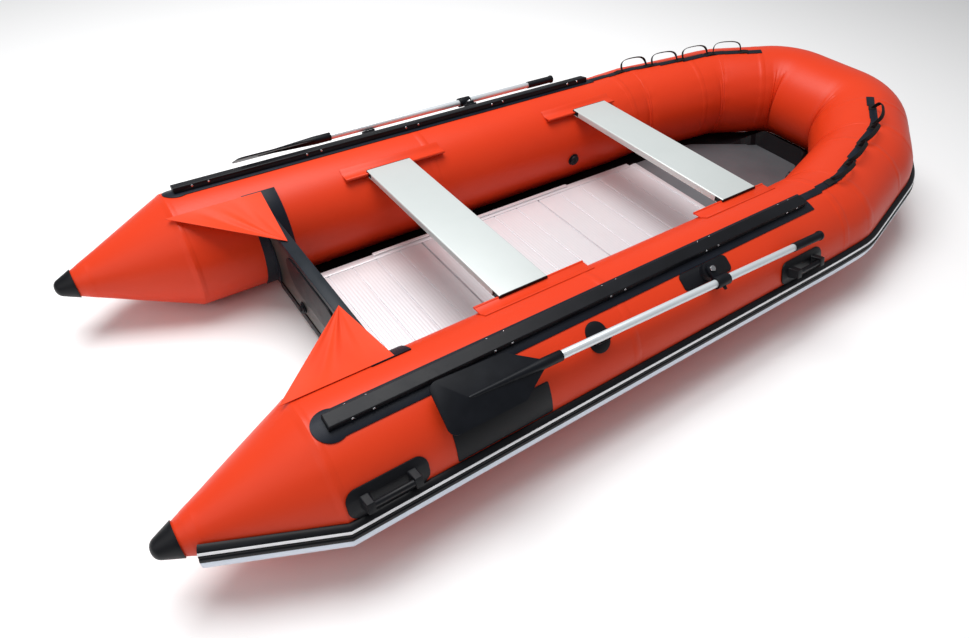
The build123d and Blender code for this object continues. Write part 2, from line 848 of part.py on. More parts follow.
def seat_cap(station, side):
    """Plastic end cap with the slot that runs on the rail's bead."""
    cell = (seat_width - 4 * seat_wall) / 3
    inner_height = seat_thickness - 2 * seat_wall
    face = side * seat_half_length
    with BuildPart() as cap:
        across = Plane(origin=(at(station), face, seat_middle_z), x_dir=(1, 0, 0), z_dir=(0, -side, 0))
        with BuildSketch(across):
            RectangleRounded(seat_width, seat_thickness, 6)
        extrude(amount=seat_cap_flange)
        with BuildSketch(across):
            with GridLocations(cell + seat_wall, 1, 3, 1):
                RectangleRounded(cell - 2 * seat_cap_gap, inner_height - 2 * seat_cap_gap, 2)
        extrude(amount=seat_cap_depth)
        slot = Plane(origin=(at(station), 0, seat_middle_z), x_dir=(0, side, 0), z_dir=(1, 0, 0))
        with BuildSketch(slot):
            with Locations((bead_y, 0)):
                Circle(rail_bead_radius + rail_slot_gap)
            with Locations((bead_y + spare / 2, 0)):
                Rectangle(spare, rail_web + 2 * rail_slot_gap)
        extrude(amount=seat_width, both=True, mode=Mode.SUBTRACT)
    return cap.part


def plank_slot(station, plank):
    """Cut the rail's slot through the webs at both ends of a plank."""
    with BuildPart() as slotted:
        add(plank.part)
        for side in (1, -1):
            slot = Plane(origin=(at(station), 0, seat_middle_z), x_dir=(0, side, 0), z_dir=(1, 0, 0))
            with BuildSketch(slot):
                reach = seat_half_length - seat_cap_depth - 6
                with Locations(((reach + seat_half_length) / 2 + 6, 0)):
                    Rectangle(seat_half_length - reach + 12, seat_thickness - 2 * seat_wall - 1)
            extrude(amount=seat_width, both=True, mode=Mode.SUBTRACT)
    return slotted


for seat_name, seat_station in zip(("aft", "forward"), seat_stations):
    keep(plank_slot(seat_station, seat_plank(seat_station)), "seat_plank_" + seat_name)
    caps = [seat_cap(seat_station, 1), seat_cap(seat_station, -1)]
    keep(Compound(children=caps), "seat_end_caps_" + seat_name)


def seat_rail(side, start, end):
    """Fabric tape on the tube with a web and a bead that hold the end of a bench."""
    half_base = degrees(rail_base_girth / 2 / tube_radius)
    foot_radius = skin + rail_base_wall / 2
    web_z = seat_middle_z - tube_radius

    def section():
        sector(skin, skin + rail_base_wall, rail_angle - half_base, rail_angle + half_base)
        with Locations((bead_y - tube_half, web_z)):
            Circle(rail_bead_radius)
        with BuildLine() as web:
            inner = bead_y - tube_half
            low, high = web_z - rail_web / 2, web_z + rail_web / 2
            Polyline(
                (inner, low), (-sqrt(foot_radius ** 2 - low ** 2), low),
                (-sqrt(foot_radius ** 2 - high ** 2), high), (inner, high), close=True,
            )
        make_face(web.line)

    return along_tube(side, start, end, section)


all_rails = [seat_rail(side, *span) for side in (1, -1) for span in rail_spans]
keep(Compound(children=all_rails), "seat_rails")

# ---- side rails ----
bolt_stations = [
    bolt_first + k * bolt_pitch + end * bolt_pair_gap / 2 for k in range(bolt_pairs) for end in (-1, 1)
]
tape_top = skin + tape_wall
rail_seat = tape_top + fit_gap
rail_top = tube_radius + side_rail_height
bolt_height = rail_top - bolt_drop


def rail_block(side, start, end, width, bottom, top):
    """Straight block over the tube at the side rail's angle."""
    with BuildPart() as block:
        with BuildSketch(tangent_plane(side, (start + end) / 2, side_rail_angle, bottom)):
            Rectangle(end - start, width)
        extrude(amount=top - bottom)
    return block.part


def bolt_hole_plane(side, station):
    """Plane square to the bolts, in the middle of the side rail."""
    out = out_of(side, side_rail_angle)
    across = Vector(1, 0, 0).cross(out)
    return Plane(origin=tube_axis(side, station) + out * bolt_height, x_dir=(1, 0, 0), z_dir=across)


def side_rail(side):
    """Channel-shaped rubber rail, open underneath, drilled for its bolts."""
    low = tube_radius - 30
    inside = side_rail_width - 2 * side_rail_wall
    with BuildPart() as rail:
        add(rail_block(side, side_rail_start, side_rail_end, side_rail_width, low, rail_top))
        top_edges = rail.faces().sort_by(Axis(rail.part.center(), out_of(side, side_rail_angle)))[-1].edges()
        fillet(top_edges, 4)
        add(
            rail_block(
                side, side_rail_start + side_rail_wall, side_rail_end - side_rail_wall,
                inside, low - 5, rail_top - side_rail_top,
            ),
            mode=Mode.SUBTRACT,
        )
        add(drum(side, side_rail_start - 10, side_rail_end + 10, rail_seat), mode=Mode.SUBTRACT)
        for station in bolt_stations:
            with BuildSketch(bolt_hole_plane(side, station)):
                Circle(bolt_radius + bolt_gap)
            extrude(amount=side_rail_width, both=True, mode=Mode.SUBTRACT)
    return rail


def lug(side, pair):
    """Block under the side rail that its bolts pass through."""
    station = bolt_first + pair * bolt_pitch
    first, last = station - lug_length / 2, station + lug_length / 2
    width = side_rail_width - 2 * side_rail_wall - 2 * fit_gap
    with BuildPart() as block:
        add(rail_block(side, first, last, width, tube_radius - 30, rail_top - side_rail_top - fit_gap))
        add(drum(side, first - 10, last + 10, rail_seat), mode=Mode.SUBTRACT)
        for end in (-1, 1):
            with BuildSketch(bolt_hole_plane(side, station + end * bolt_pair_gap / 2)):
                Circle(bolt_radius + bolt_gap)
            extrude(amount=side_rail_width, both=True, mode=Mode.SUBTRACT)
    return block.part


def bolt(side, station):
    """Through bolt with a low round head at each end."""
    plane = bolt_hole_plane(side, station)
    with BuildPart() as pin:
        with BuildSketch(plane):
            Circle(bolt_radius)
        extrude(amount=side_rail_width / 2 + 1, both=True)
        for face in (1, -1):
            with BuildSketch(plane.offset(face * (side_rail_width / 2 + bolt_gap))):
                Circle(bolt_head_radius)
            extrude(amount=face * bolt_head_height, taper=20)
    return pin.part


def base_tape(side):
    """Tape under the side rail, with a round end at the stern."""
    def plan():
        first = tape_disc_station
        with Locations((at((first + tape_end) / 2) - at(0), 0)):
            Rectangle(tape_end - first, chord(tape_girth))
        with Locations((first, 0)):
            Circle(tape_disc_radius)

    return wrapped(side, tape_angle, -20, tape_end + 20, tape_wall, plan)


keep(side_rail(1), "side_rail_port")
keep(side_rail(-1), "side_rail_starboard")
lugs = [lug(side, pair) for side in (1, -1) for pair in range(bolt_pairs)]
keep(Compound(children=lugs), "side_rail_lugs")
bolts = [bolt(side, station) for side in (1, -1) for station in bolt_stations]
keep(Compound(children=bolts), "side_rail_bolts")
keep(Compound(children=[base_tape(1), base_tape(-1)]), "base_tapes")


# ---- rub rail ----
def polar(radius, angle):
    return (radius * cos(radians(angle)), radius * sin(radians(angle)))


def face_point(angle, inset=0.0):
    """Point on the rub rail's face at a tube angle, or inset under it."""
    for (low, low_height), (high, high_height) in zip(rub_face, rub_face[1:]):
        if low <= angle <= high:
            share = (angle - low) / (high - low)
            return polar(tube_radius + low_height + (high_height - low_height) * share - inset, angle)


def base_outline():
    """Rub rail section: flat facets on the tube, and a full face with seats for two strips."""
    low, high = rub_face[0][0], rub_face[-1][0]
    step = (high - low) / rub_back_facets
    face = []
    for angle, _ in rub_face:
        seated = [band for band in (rub_pale, rub_white) if band[0] <= angle <= band[1]]
        if seated and angle == seated[0][1]:
            face += [face_point(angle, rub_inlay), face_point(angle)]
        elif seated and angle == seated[0][0]:
            face += [face_point(angle), face_point(angle, rub_inlay)]
        else:
            face.append(face_point(angle, rub_inlay if seated else 0.0))
    back = [polar(skin, high - step * k) for k in range(rub_back_facets + 1)]
    with BuildLine() as edge:
        Polyline(*face, *back, close=True)
    make_face(edge.line)


def strip_outline(band):
    """Section of a coloured strip let into the face of the rub rail."""
    gap = degrees(rub_inlay_gap / tube_radius)
    ends = [band[0] + gap, band[1] - gap]
    angles = ends[:1] + [angle for angle, _ in rub_face if ends[0] < angle < ends[1]] + ends[1:]

    def outline():
        depth = rub_inlay - rub_inlay_gap
        with BuildLine() as edge:
            Polyline(
                *[face_point(angle) for angle in angles],
                *[face_point(angle, depth) for angle in reversed(angles)], close=True,
            )
        make_face(edge.line)

    return outline


def rub_legs(outline):
    """Legs of a strip that runs up one cone, round the bow and down the other cone."""
    pieces = []
    generator = Vector(cone_length, tube_radius - cone_tip_radius).normalized()
    for side in (1, -1):
        along = Vector(generator.X, side * generator.Y)
        outward = Vector(-along.Y, along.X) * side
        knuckle = tube_axis(side, 0) + Vector(0, side * tube_radius, 0)
        tip = knuckle - along * (cone_length * cone_tilt - rub_tip_margin)
        shift = outward * (rub_lift - tube_radius)
        side_start, side_stop = tube_axis(side, 0), tube_axis(side, sheer_start)
        bend = Plane(origin=knuckle, z_dir=along + Vector(1, 0, 0))
        square_tip = Plane(origin=tip, z_dir=along)
        square_end = Plane(origin=side_stop, z_dir=(1, 0, 0))
        if side > 0:
            pieces.append(leg(outline, tip + shift, knuckle + shift, square_tip, bend))
            pieces.append(leg(outline, side_start, side_stop, bend, square_end))
        else:
            back = Plane(origin=knuckle, z_dir=(along + Vector(1, 0, 0)) * -1)
            pieces.append(leg(outline, knuckle + shift, tip + shift, back, Plane(origin=tip, z_dir=along * -1)))
            pieces.append(leg(outline, side_stop, side_start, Plane(origin=side_stop, z_dir=(-1, 0, 0)), back))
    return pieces + mitred(route, [outline] * (len(route) - 1), *bow_ends)


keep(joined(rub_legs(base_outline)), "rub_rail_base")
keep(joined(rub_legs(strip_outline(rub_white))), "rub_rail_white_strip")
keep(joined(rub_legs(strip_outline(rub_pale))), "rub_rail_lower_strip")


# ---- grab lines at the bow ----
def grab_angle(length):
    share = (length - grab_start) / (grab_end - grab_start)
    return grab_angle_start + (grab_angle_end - grab_angle_start) * share


def grab_tape(side):
    """Tape round the shoulder of the bow that the webbing loops are sewn to."""
    start, _ = on_route(grab_start)
    end, _ = on_route(grab_end)
    inner = [(n, p) for n, p in zip(lengths, route) if grab_start < n < grab_end]
    marks = [grab_start] + [n for n, _ in inner] + [grab_end]
    points = [start] + [p for _, p in inner] + [end]
    half = degrees(grab_girth / 2 / tube_radius)
    outlines = []
    for first, last in zip(marks, marks[1:]):
        middle = grab_angle((first + last) / 2)
        outlines.append(lambda m=middle: sector(skin, skin + tape_wall, m - half, m + half))
    legs = mitred(points, outlines)
    if side < 0:
        legs = [piece.mirror(Plane.XZ) for piece in legs]
    return joined(legs)


def bow_place(length, height):
    """Point over the port bow tube at the grab line's angle, and the direction out of the tube."""
    point, along = on_route(length)
    outward = Vector(0, 0, 1).cross(along).normalized()
    up = along.cross(outward).normalized()
    angle = radians(grab_angle(length))
    out = outward * cos(angle) + up * sin(angle)
    return point + out * height, out


def grab_loop(side, k):
    """One arch of webbing between two stitched bars."""
    middle = grab_first_bar + (k + 0.5) * grab_pitch
    rest = tape_top + fit_gap + grab_loop_width / 2 * sin(radians(grab_loop_lean))
    first, first_out = bow_place(middle - grab_loop_length / 2, rest)
    last, last_out = bow_place(middle + grab_loop_length / 2, rest)
    along = (last - first).normalized()
    out = (first_out + last_out).normalized()
    lean = radians(grab_loop_lean)
    leaned = out * cos(lean) - along.cross(out).normalized() * sin(lean)
    across = along.cross(leaned).normalized()
    span = (last - first).length
    half, rise, strap = span / 2, grab_loop_height, grab_loop_strap
    with BuildPart() as loop:
        with BuildSketch(Plane(origin=(first + last) * 0.5, x_dir=along, z_dir=across)):
            with BuildLine():
                outer = Spline((-half, 0), (-half * 0.62, rise * 0.82), (0, rise), (half * 0.62, rise * 0.82), (half, 0))
                inner = Spline(
                    (-half + strap, 0), (-half * 0.62 + strap * 0.5, rise * 0.82 - strap), (0, rise - strap),
                    (half * 0.62 - strap * 0.5, rise * 0.82 - strap), (half - strap, 0),
                )
                Line(outer @ 0, inner @ 0)
                Line(outer @ 1, inner @ 1)
            make_face()
        extrude(amount=grab_loop_width / 2, both=True)
    return loop.part if side > 0 else loop.part.mirror(Plane.XZ)


keep(Compound(children=[grab_tape(1), grab_tape(-1)]), "grab_tapes")
for grab_name, grab_side in (("port", 1), ("starboard", -1)):
    arches = [grab_loop(grab_side, k) for k in range(grab_loops)]
    keep(Compound(children=arches), "grab_loops_" + grab_name)


# ---- carrying handles ----
def carry_handle(side, station):
    """Moulded pad with a bar held between two lugs."""
    half = handle_length / 2

    def plan():
        with Locations((station, 0)):
            RectangleRounded(handle_length, chord(handle_girth), handle_corner)

    pad = wrapped(side, handle_angle, station - half - 10, station + half + 10, handle_pad, plan)
    lug_top = tube_radius + handle_bar_height + handle_bar_radius + 2
    with BuildPart() as handle:
        for end in (1, -1):
            lug_station = station + end * (handle_span - handle_lug_length) / 2
            with BuildSketch(tangent_plane(side, lug_station, handle_angle, tube_radius - 10)):
                RectangleRounded(handle_lug_length, handle_lug_width, 8)
            extrude(amount=lug_top - tube_radius + 10, taper=6)
        out = out_of(side, handle_angle)
        centre = tube_axis(side, station) + out * (tube_radius + handle_bar_height)
        with BuildSketch(Plane(origin=centre, x_dir=out, z_dir=(1, 0, 0))):
            Circle(handle_bar_radius)
        extrude(amount=handle_span / 2 - handle_lug_length / 2, both=True)
        add(drum(side, station - half, station + half, skin + handle_pad / 2), mode=Mode.SUBTRACT)
        add(pad)
    return handle.part


handles = [carry_handle(side, station) for side in (1, -1) for station in handle_stations]
keep(Compound(children=handles), "carry_handles")


# ---- oars ----
def oar_place(side, station, offset, rise=0.0):
    """Point in the oar's plane: offset is outboard of the pin's line, rise is out of the plane."""
    out = out_of(side, pin_angle)
    sideways = Vector(0, side * sin(radians(pin_angle)), -cos(radians(pin_angle)))
    return tube_axis(side, station) + out * (oar_height + rise) + sideways * offset


def oar_along(side):
    tip = oar_place(side, oar_tip_station, oar_tip_offset)
    return (oar_place(side, oar_grip_station, oar_grip_offset) - tip).normalized()


def oar_offset(station):
    share = (station - oar_tip_station) / (oar_grip_station - oar_tip_station)
    return oar_tip_offset + (oar_grip_offset - oar_tip_offset) * share


def oar_cross_plane(side, distance):
    """Plane across the oar at a distance from the blade's tip."""
    tip = oar_place(side, oar_tip_station, oar_tip_offset)
    along = oar_along(side)
    return Plane(origin=tip + along * distance, x_dir=out_of(side, pin_angle), z_dir=along)


def oar_flat_plane(side, distance, rise):
    """Plane that the blade lies in; local X runs towards the grip."""
    tip = oar_place(side, oar_tip_station, oar_tip_offset, rise)
    return Plane(origin=tip + oar_along(side) * distance, x_dir=oar_along(side), z_dir=out_of(side, pin_angle))


oar_length = hypot(oar_grip_station - oar_tip_station, oar_grip_offset - oar_tip_offset)
shaft_start = blade_length + blade_socket_length - shaft_in_socket
shaft_end = oar_length - grip_length + grip_in
grip_start = oar_length - grip_length


def oar_shaft(side):
    """Drawn aluminium tube."""
    with BuildPart() as shaft:
        with BuildSketch(oar_cross_plane(side, shaft_start)):
            Circle(shaft_radius)
            Circle(shaft_radius - shaft_wall, mode=Mode.SUBTRACT)
        extrude(amount=shaft_end - shaft_start)
    return shaft


def oar_blade(side):
    """Moulded blade with a spine and a socket for the shaft."""
    neck = blade_socket_radius
    with BuildPart() as blade:
        with BuildSketch(oar_flat_plane(side, 0, 0)) as flat:
            with BuildLine():
                Polyline(
                    (0, -blade_half_width), (blade_length - blade_shoulder, -blade_half_width * 0.94),
                    (blade_length, -neck), (blade_length, neck),
                    (blade_length - blade_shoulder, blade_half_width * 0.94), (0, blade_half_width), close=True,
                )
            make_face()
            corners = flat.vertices()
            broad = [v for v in corners if v.X < 1]
            shoulders = [v for v in corners if 10 < v.X < blade_length - 10]
            fillet(broad, blade_corner)
            fillet(shoulders, 45)
        extrude(amount=blade_thickness / 2, both=True)
        with BuildSketch(oar_cross_plane(side, blade_length - blade_spine_length)):
            Circle(blade_thickness)
        with BuildSketch(oar_cross_plane(side, blade_length)):
            Circle(neck)
        loft()
        with BuildSketch(oar_cross_plane(side, blade_length)):
            Circle(neck)
        extrude(amount=blade_socket_length)
        with BuildSketch(oar_cross_plane(side, shaft_start)):
            Circle(shaft_radius + pin_gap)
        extrude(amount=shaft_in_socket + 5, mode=Mode.SUBTRACT)
    return blade


def oar_grip(side):
    """Moulded grip with a plug that goes inside the shaft and a flared end."""
    with BuildPart() as grip:
        with BuildSketch(oar_cross_plane(side, shaft_end - grip_in + pin_gap)):
            Circle(shaft_radius - shaft_wall - pin_gap)
        extrude(amount=grip_in)
        with BuildSketch(oar_cross_plane(side, grip_start)):
            Circle(grip_radius)
        extrude(amount=grip_length)
        with BuildSketch(oar_cross_plane(side, grip_start)):
            Circle(shaft_radius + pin_gap)
            Circle(shaft_radius - shaft_wall - pin_gap, mode=Mode.SUBTRACT)
        extrude(amount=grip_in + pin_gap, mode=Mode.SUBTRACT)
        with BuildSketch(oar_cross_plane(side, oar_length - 10)):
            Circle(grip_radius + 2.5)
        extrude(amount=10)
    return grip


arm_top = -oar_swing_gap + collar_arm_thickness
pin_offset = oar_offset(pin_station)


def oar_collar(side):
    """Clamp round the shaft with an arm that turns on the oarlock pin."""
    radius = shaft_radius + collar_wall
    middle = (pin_station - oar_tip_station) / (oar_grip_station - oar_tip_station) * oar_length
    out = out_of(side, pin_angle)
    foot = oar_place(side, pin_station, 0, -oar_swing_gap)
    with BuildPart() as collar:
        with BuildSketch(oar_cross_plane(side, middle)):
            Circle(radius)
        extrude(amount=collar_length / 2, both=True)
        with BuildSketch(Plane(origin=foot, x_dir=(1, 0, 0), z_dir=out)):
            Circle(collar_arm_radius)
            with Locations((0, side * pin_offset / 2)):
                Rectangle(2 * collar_arm_radius - 8, pin_offset)
        extrude(amount=collar_arm_thickness)
        sideways = Vector(0, side * sin(radians(pin_angle)), -cos(radians(pin_angle)))
        nub = oar_place(side, pin_station, pin_offset + radius - 2)
        with BuildSketch(Plane(origin=nub, z_dir=sideways)):
            Circle(collar_nub_radius)
        extrude(amount=collar_nub_length, taper=8)
        with BuildSketch(oar_cross_plane(side, middle - spare)):
            Circle(shaft_radius + pin_gap)
        extrude(amount=2 * spare, mode=Mode.SUBTRACT)
        with BuildSketch(Plane(origin=foot, z_dir=out)):
            Circle(pin_radius + pin_gap)
        extrude(amount=spare, both=True, mode=Mode.SUBTRACT)
    return collar


def oarlock_base(side):
    """Rubber patch with a boss that carries the pin."""
    half = oarlock_length / 2
    boss_top = oar_height - oar_swing_gap - oarlock_boss_gap

    def plan():
        with Locations((pin_station, 0)):
            RectangleRounded(oarlock_length, chord(oarlock_girth), 18)

    pad = wrapped(side, pin_angle, pin_station - half - 10, pin_station + half + 10, oarlock_wall, plan)
    with BuildPart() as base:
        with BuildSketch(tangent_plane(side, pin_station, pin_angle, tube_radius - 20)):
            Circle(oarlock_boss_radius)
        extrude(amount=boss_top - tube_radius + 20)
        add(drum(side, pin_station - half, pin_station + half, skin + oarlock_wall / 2), mode=Mode.SUBTRACT)
        add(pad)
        with BuildSketch(tangent_plane(side, pin_station, pin_angle, skin + oarlock_wall)):
            Circle(pin_radius + pin_gap)
        extrude(amount=spare, mode=Mode.SUBTRACT)
    return base.part


def oarlock_pin(side):
    """Steel pin with a round head over the collar's arm."""
    head = oar_height + arm_top + oarlock_boss_gap
    with BuildPart() as pin:
        with BuildSketch(tangent_plane(side, pin_station, pin_angle, skin + oarlock_wall + fit_gap)):
            Circle(pin_radius)
        extrude(amount=head - skin - oarlock_wall)
        with BuildSketch(tangent_plane(side, pin_station, pin_angle, head)):
            Circle(pin_head_radius)
        extrude(amount=pin_head_height, taper=15)
    return pin.part


def rest_pad(side):
    """Rounded patch with a low saddle under the oar's shaft."""
    half = rest_length / 2
    saddle_top = oar_height - shaft_radius - fit_gap - 1

    def plan():
        with Locations((rest_station, 0)):
            RectangleRounded(rest_length, chord(rest_girth), half - 1)

    pad = wrapped(side, rest_angle, rest_station - half - 10, rest_station + half + 10, rest_wall, plan)
    foot = oar_place(side, rest_station, oar_offset(rest_station), saddle_top - oar_height - 30)
    with BuildPart() as rest:
        with BuildSketch(Plane(origin=foot, x_dir=(1, 0, 0), z_dir=out_of(side, pin_angle))):
            RectangleRounded(rest_length - 24, rest_saddle, 10)
        extrude(amount=30)
        add(drum(side, rest_station - half, rest_station + half, skin + rest_wall / 2), mode=Mode.SUBTRACT)
        add(pad)
    return rest.part


for oar_name, oar_side in (("port", 1), ("starboard", -1)):
    keep(oar_shaft(oar_side), "oar_shaft_" + oar_name)
    keep(oar_blade(oar_side), "oar_blade_" + oar_name)
    keep(oar_grip(oar_side), "oar_grip_" + oar_name)
    keep(oar_collar(oar_side), "oar_collar_" + oar_name)
keep(Compound(children=[oarlock_base(1), oarlock_base(-1)]), "oarlock_bases")
keep(Compound(children=[oarlock_pin(1), oarlock_pin(-1)]), "oarlock_pins")
keep(Compound(children=[rest_pad(1), rest_pad(-1)]), "oar_rest_pads")


# ---- blank label patches ----
def label_patch(side):
    def plan():
        with Locations((label_station, 0)):
            RectangleRounded(label_length, chord(label_girth), 6)

    half = label_length / 2
    return wrapped(side, label_angle, label_station - half - 10, label_station + half + 10, label_wall, plan)


keep(Compound(children=[label_patch(1), label_patch(-1)]), "label_patches")


# ---- air valves ----
def valve_seat(where):
    """Point on a tube's skin and the direction out of it, where a valve sits."""
    if where == "bow":
        point, along = on_route(bow_valve_route)
        inward = Vector(0, 0, 1).cross(along).normalized() * -1
        return mirrored(point + inward * tube_radius), mirrored(inward)
    side = 1 if where == "port" else -1
    angle = 180 + degrees(asin(valve_drop / tube_radius))
    out = out_of(side, angle)
    return tube_axis(side, valve_station) + out * tube_radius, out


def valve_body(where):
    """Flange against the tube's skin with a short neck."""
    point, out = valve_seat(where)
    plane = Plane(origin=point + out * fit_gap, z_dir=out)
    with BuildPart() as body:
        with BuildSketch(plane):
            Circle(valve_flange_radius)
        extrude(amount=valve_flange_thickness)
        with BuildSketch(plane):
            Circle(valve_neck_radius)
        extrude(amount=valve_neck_height)
        with BuildSketch(plane.offset(valve_flange_thickness)):
            Circle(valve_bore_radius)
        extrude(amount=valve_neck_height, mode=Mode.SUBTRACT)
        with BuildSketch(plane.offset(valve_flange_thickness - 1)):
            Circle(valve_bore_radius / 2)
        extrude(amount=valve_neck_height - 3)
    return body.part


def valve_cap(where):
    """Screw cap over the valve's neck, with a grip bar."""
    point, out = valve_seat(where)
    plane = Plane(origin=point + out * (2 * fit_gap + valve_flange_thickness), z_dir=out)
    with BuildPart() as cap:
        with BuildSketch(plane):
            Circle(valve_cap_radius)
        extrude(amount=valve_cap_height)
        with BuildSketch(plane):
            Circle(valve_neck_radius + plug_gap)
        extrude(amount=valve_cap_height - valve_cap_wall, mode=Mode.SUBTRACT)
        with BuildSketch(plane.offset(valve_cap_height - 1)):
            RectangleRounded(1.5 * valve_cap_radius, 7, 3)
        extrude(amount=4)
    return cap


keep(Compound(children=[valve_body(where) for where in ("port", "starboard", "bow")]), "valve_bodies")
for where in ("port", "starboard", "bow"):
    keep(valve_cap(where), "valve_cap_" + where)

# ---- towing ring at the bow ----
bow_axis_z = tube_radius + sheer(bow_front)
tow_out = Vector(cos(radians(tow_angle)), 0, -sin(radians(tow_angle)))
tow_seat = Vector(at(bow_front), 0, bow_axis_z) + tow_out * skin
tow_sleeve_radius = tow_bar_radius + 3.5
tow_bar_centre = tow_seat + tow_out * (tow_patch_wall + tow_sleeve_radius)
with BuildPart() as tow_drum:
    with BuildSketch(Plane(origin=(at(bow_front), 0, bow_axis_z), z_dir=(0, 1, 0))):
        Circle(skin)
    extrude(amount=2 * tow_patch_radius, both=True)
with BuildPart() as tow_patch:
    with BuildSketch(Plane(origin=tow_seat - tow_out * 12, x_dir=(0, 1, 0), z_dir=tow_out)):
        Circle(tow_patch_radius)
    extrude(amount=12 + tow_patch_wall)
    with BuildSketch(Plane(origin=tow_bar_centre, x_dir=tow_out, z_dir=(0, 1, 0))):
        Circle(tow_sleeve_radius)
        with Locations((-tow_sleeve_radius / 2 - 1, 0)):
            Rectangle(tow_sleeve_radius + 2, 2 * tow_sleeve_radius)
    extrude(amount=tow_ring_half - 2 * tow_bar_radius, both=True)
    add(tow_drum.part, mode=Mode.SUBTRACT)
    with BuildSketch(Plane(origin=tow_bar_centre, z_dir=(0, 1, 0))):
        Circle(tow_bar_radius + tow_sleeve_gap)
    extrude(amount=spare, both=True, mode=Mode.SUBTRACT)
keep(tow_patch, "tow_patch")

with BuildPart() as tow_ring:
    with BuildLine(Plane(origin=tow_bar_centre, x_dir=(0, 1, 0), z_dir=(1, 0, 0))) as ring_path:
        FilletPolyline(
            (tow_ring_half, 0), (tow_ring_half, -tow_ring_drop), (-tow_ring_half, -tow_ring_drop),
            (-tow_ring_half, 0), radius=8, close=True,
        )
    with BuildSketch(Plane(origin=ring_path.line @ 0, z_dir=ring_path.line % 0)):
        Circle(tow_bar_radius)
    sweep()
keep(tow_ring, "tow_ring")

print(len(finished), "pieces; overall length", round(hull_length, 1))
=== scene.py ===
import logging
import math
from collections.abc import Callable
from dataclasses import dataclass
from enum import Enum

import bpy
from mathutils import Matrix, Vector, noise


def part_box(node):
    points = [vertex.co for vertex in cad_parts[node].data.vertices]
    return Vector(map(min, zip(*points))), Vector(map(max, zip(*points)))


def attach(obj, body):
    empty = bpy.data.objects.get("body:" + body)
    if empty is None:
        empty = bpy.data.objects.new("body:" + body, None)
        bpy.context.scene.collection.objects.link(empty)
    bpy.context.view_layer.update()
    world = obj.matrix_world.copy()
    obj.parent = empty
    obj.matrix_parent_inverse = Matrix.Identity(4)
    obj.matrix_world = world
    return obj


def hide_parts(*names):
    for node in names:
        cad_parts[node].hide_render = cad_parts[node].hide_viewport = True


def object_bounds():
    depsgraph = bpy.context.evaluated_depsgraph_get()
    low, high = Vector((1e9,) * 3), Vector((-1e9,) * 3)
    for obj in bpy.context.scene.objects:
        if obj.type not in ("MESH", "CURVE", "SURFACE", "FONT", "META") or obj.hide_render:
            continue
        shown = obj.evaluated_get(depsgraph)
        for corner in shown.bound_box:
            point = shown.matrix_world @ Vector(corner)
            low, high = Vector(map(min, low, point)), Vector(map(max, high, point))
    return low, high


log = logging.getLogger("dinghy")

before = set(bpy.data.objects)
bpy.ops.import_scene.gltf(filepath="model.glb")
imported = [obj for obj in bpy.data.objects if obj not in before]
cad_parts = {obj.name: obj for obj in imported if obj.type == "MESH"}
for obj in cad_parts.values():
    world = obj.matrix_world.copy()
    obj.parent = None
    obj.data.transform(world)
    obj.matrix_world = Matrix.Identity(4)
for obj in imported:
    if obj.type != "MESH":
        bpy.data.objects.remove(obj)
CAD_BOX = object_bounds()

Place = Callable[[int, int], Vector]


class Side(Enum):
    """The two sides of the boat; the value is the sign of Y."""

    PORT = 1
    STARBOARD = -1


def edit_mode() -> None:
    """Enter edit mode on the active object with its whole mesh selected."""
    bpy.ops.object.mode_set(mode="EDIT")
    bpy.ops.mesh.select_all(action="SELECT")


def object_mode() -> None:
    """Go back to object mode."""
    bpy.ops.object.mode_set(mode="OBJECT")


def only(piece: bpy.types.Object) -> None:
    """Select one object and make it the active one.

    Args:
        piece: the object.
    """
    bpy.ops.object.select_all(action="DESELECT")
    piece.select_set(True)
    bpy.context.view_layer.objects.active = piece


def smooth(piece: bpy.types.Object, degrees: float = 35.0) -> None:
    """Shade a piece smooth, with its sharp edges kept.

    Args:
        piece: the object.
        degrees: edges that bend more than this stay sharp.
    """
    only(piece)
    bpy.ops.object.shade_smooth_by_angle(angle=math.radians(degrees))


def apply_all(piece: bpy.types.Object) -> None:
    """Apply every modifier of a piece.

    Args:
        piece: the object.
    """
    only(piece)
    for name in [m.name for m in piece.modifiers]:
        bpy.ops.object.modifier_apply(modifier=name)


def thicken(piece: bpy.types.Object, thickness: float, bevel: float = 0.0) -> None:
    """Give a sheet its thickness, half to each side, and soften its edges.

    Args:
        piece: the sheet.
        thickness: in metres.
        bevel: radius of the edges, or 0 for none.
    """
    wall = piece.modifiers.new("wall", "SOLIDIFY")
    wall.thickness = thickness
    wall.offset = 0.0
    if bevel > 0:
        soften = piece.modifiers.new("soften", "BEVEL")
        soften.width = bevel
        soften.segments = 2
        soften.limit_method = "ANGLE"
        soften.angle_limit = math.radians(50)
    apply_all(piece)


def draped_grid(name: str, columns: int, rows: int, place: Place) -> bpy.types.Object:
    """Add a grid and lay each of its points where a function says.

    Args:
        name: the new piece's name.
        columns: faces along the first way.
        rows: faces along the second way.
        place: gives the position for a column and row number.

    Returns:
        The new object, with its origin at the world's.
    """
    bpy.ops.object.select_all(action="DESELECT")
    bpy.ops.mesh.primitive_grid_add(x_subdivisions=columns, y_subdivisions=rows, size=2.0)
    piece = bpy.context.object
    piece.name = name
    piece.data.name = name
    for vertex in piece.data.vertices:
        column = round((vertex.co.x + 1) / 2 * columns)
        row = round((vertex.co.y + 1) / 2 * rows)
        vertex.co = place(column, row)
    edit_mode()
    bpy.ops.mesh.remove_doubles(threshold=1e-5)
    bpy.ops.mesh.normals_make_consistent(inside=False)
    object_mode()
    return piece


def close_holes(piece: bpy.types.Object) -> None:
    """Fill the open ends of a piece and point its faces outwards.

    Args:
        piece: the object.
    """
    only(piece)
    edit_mode()
    bpy.ops.mesh.fill_holes(sides=0)
    bpy.ops.mesh.normals_make_consistent(inside=False)
    object_mode()


# ---------------------------------------------------------------- finishes


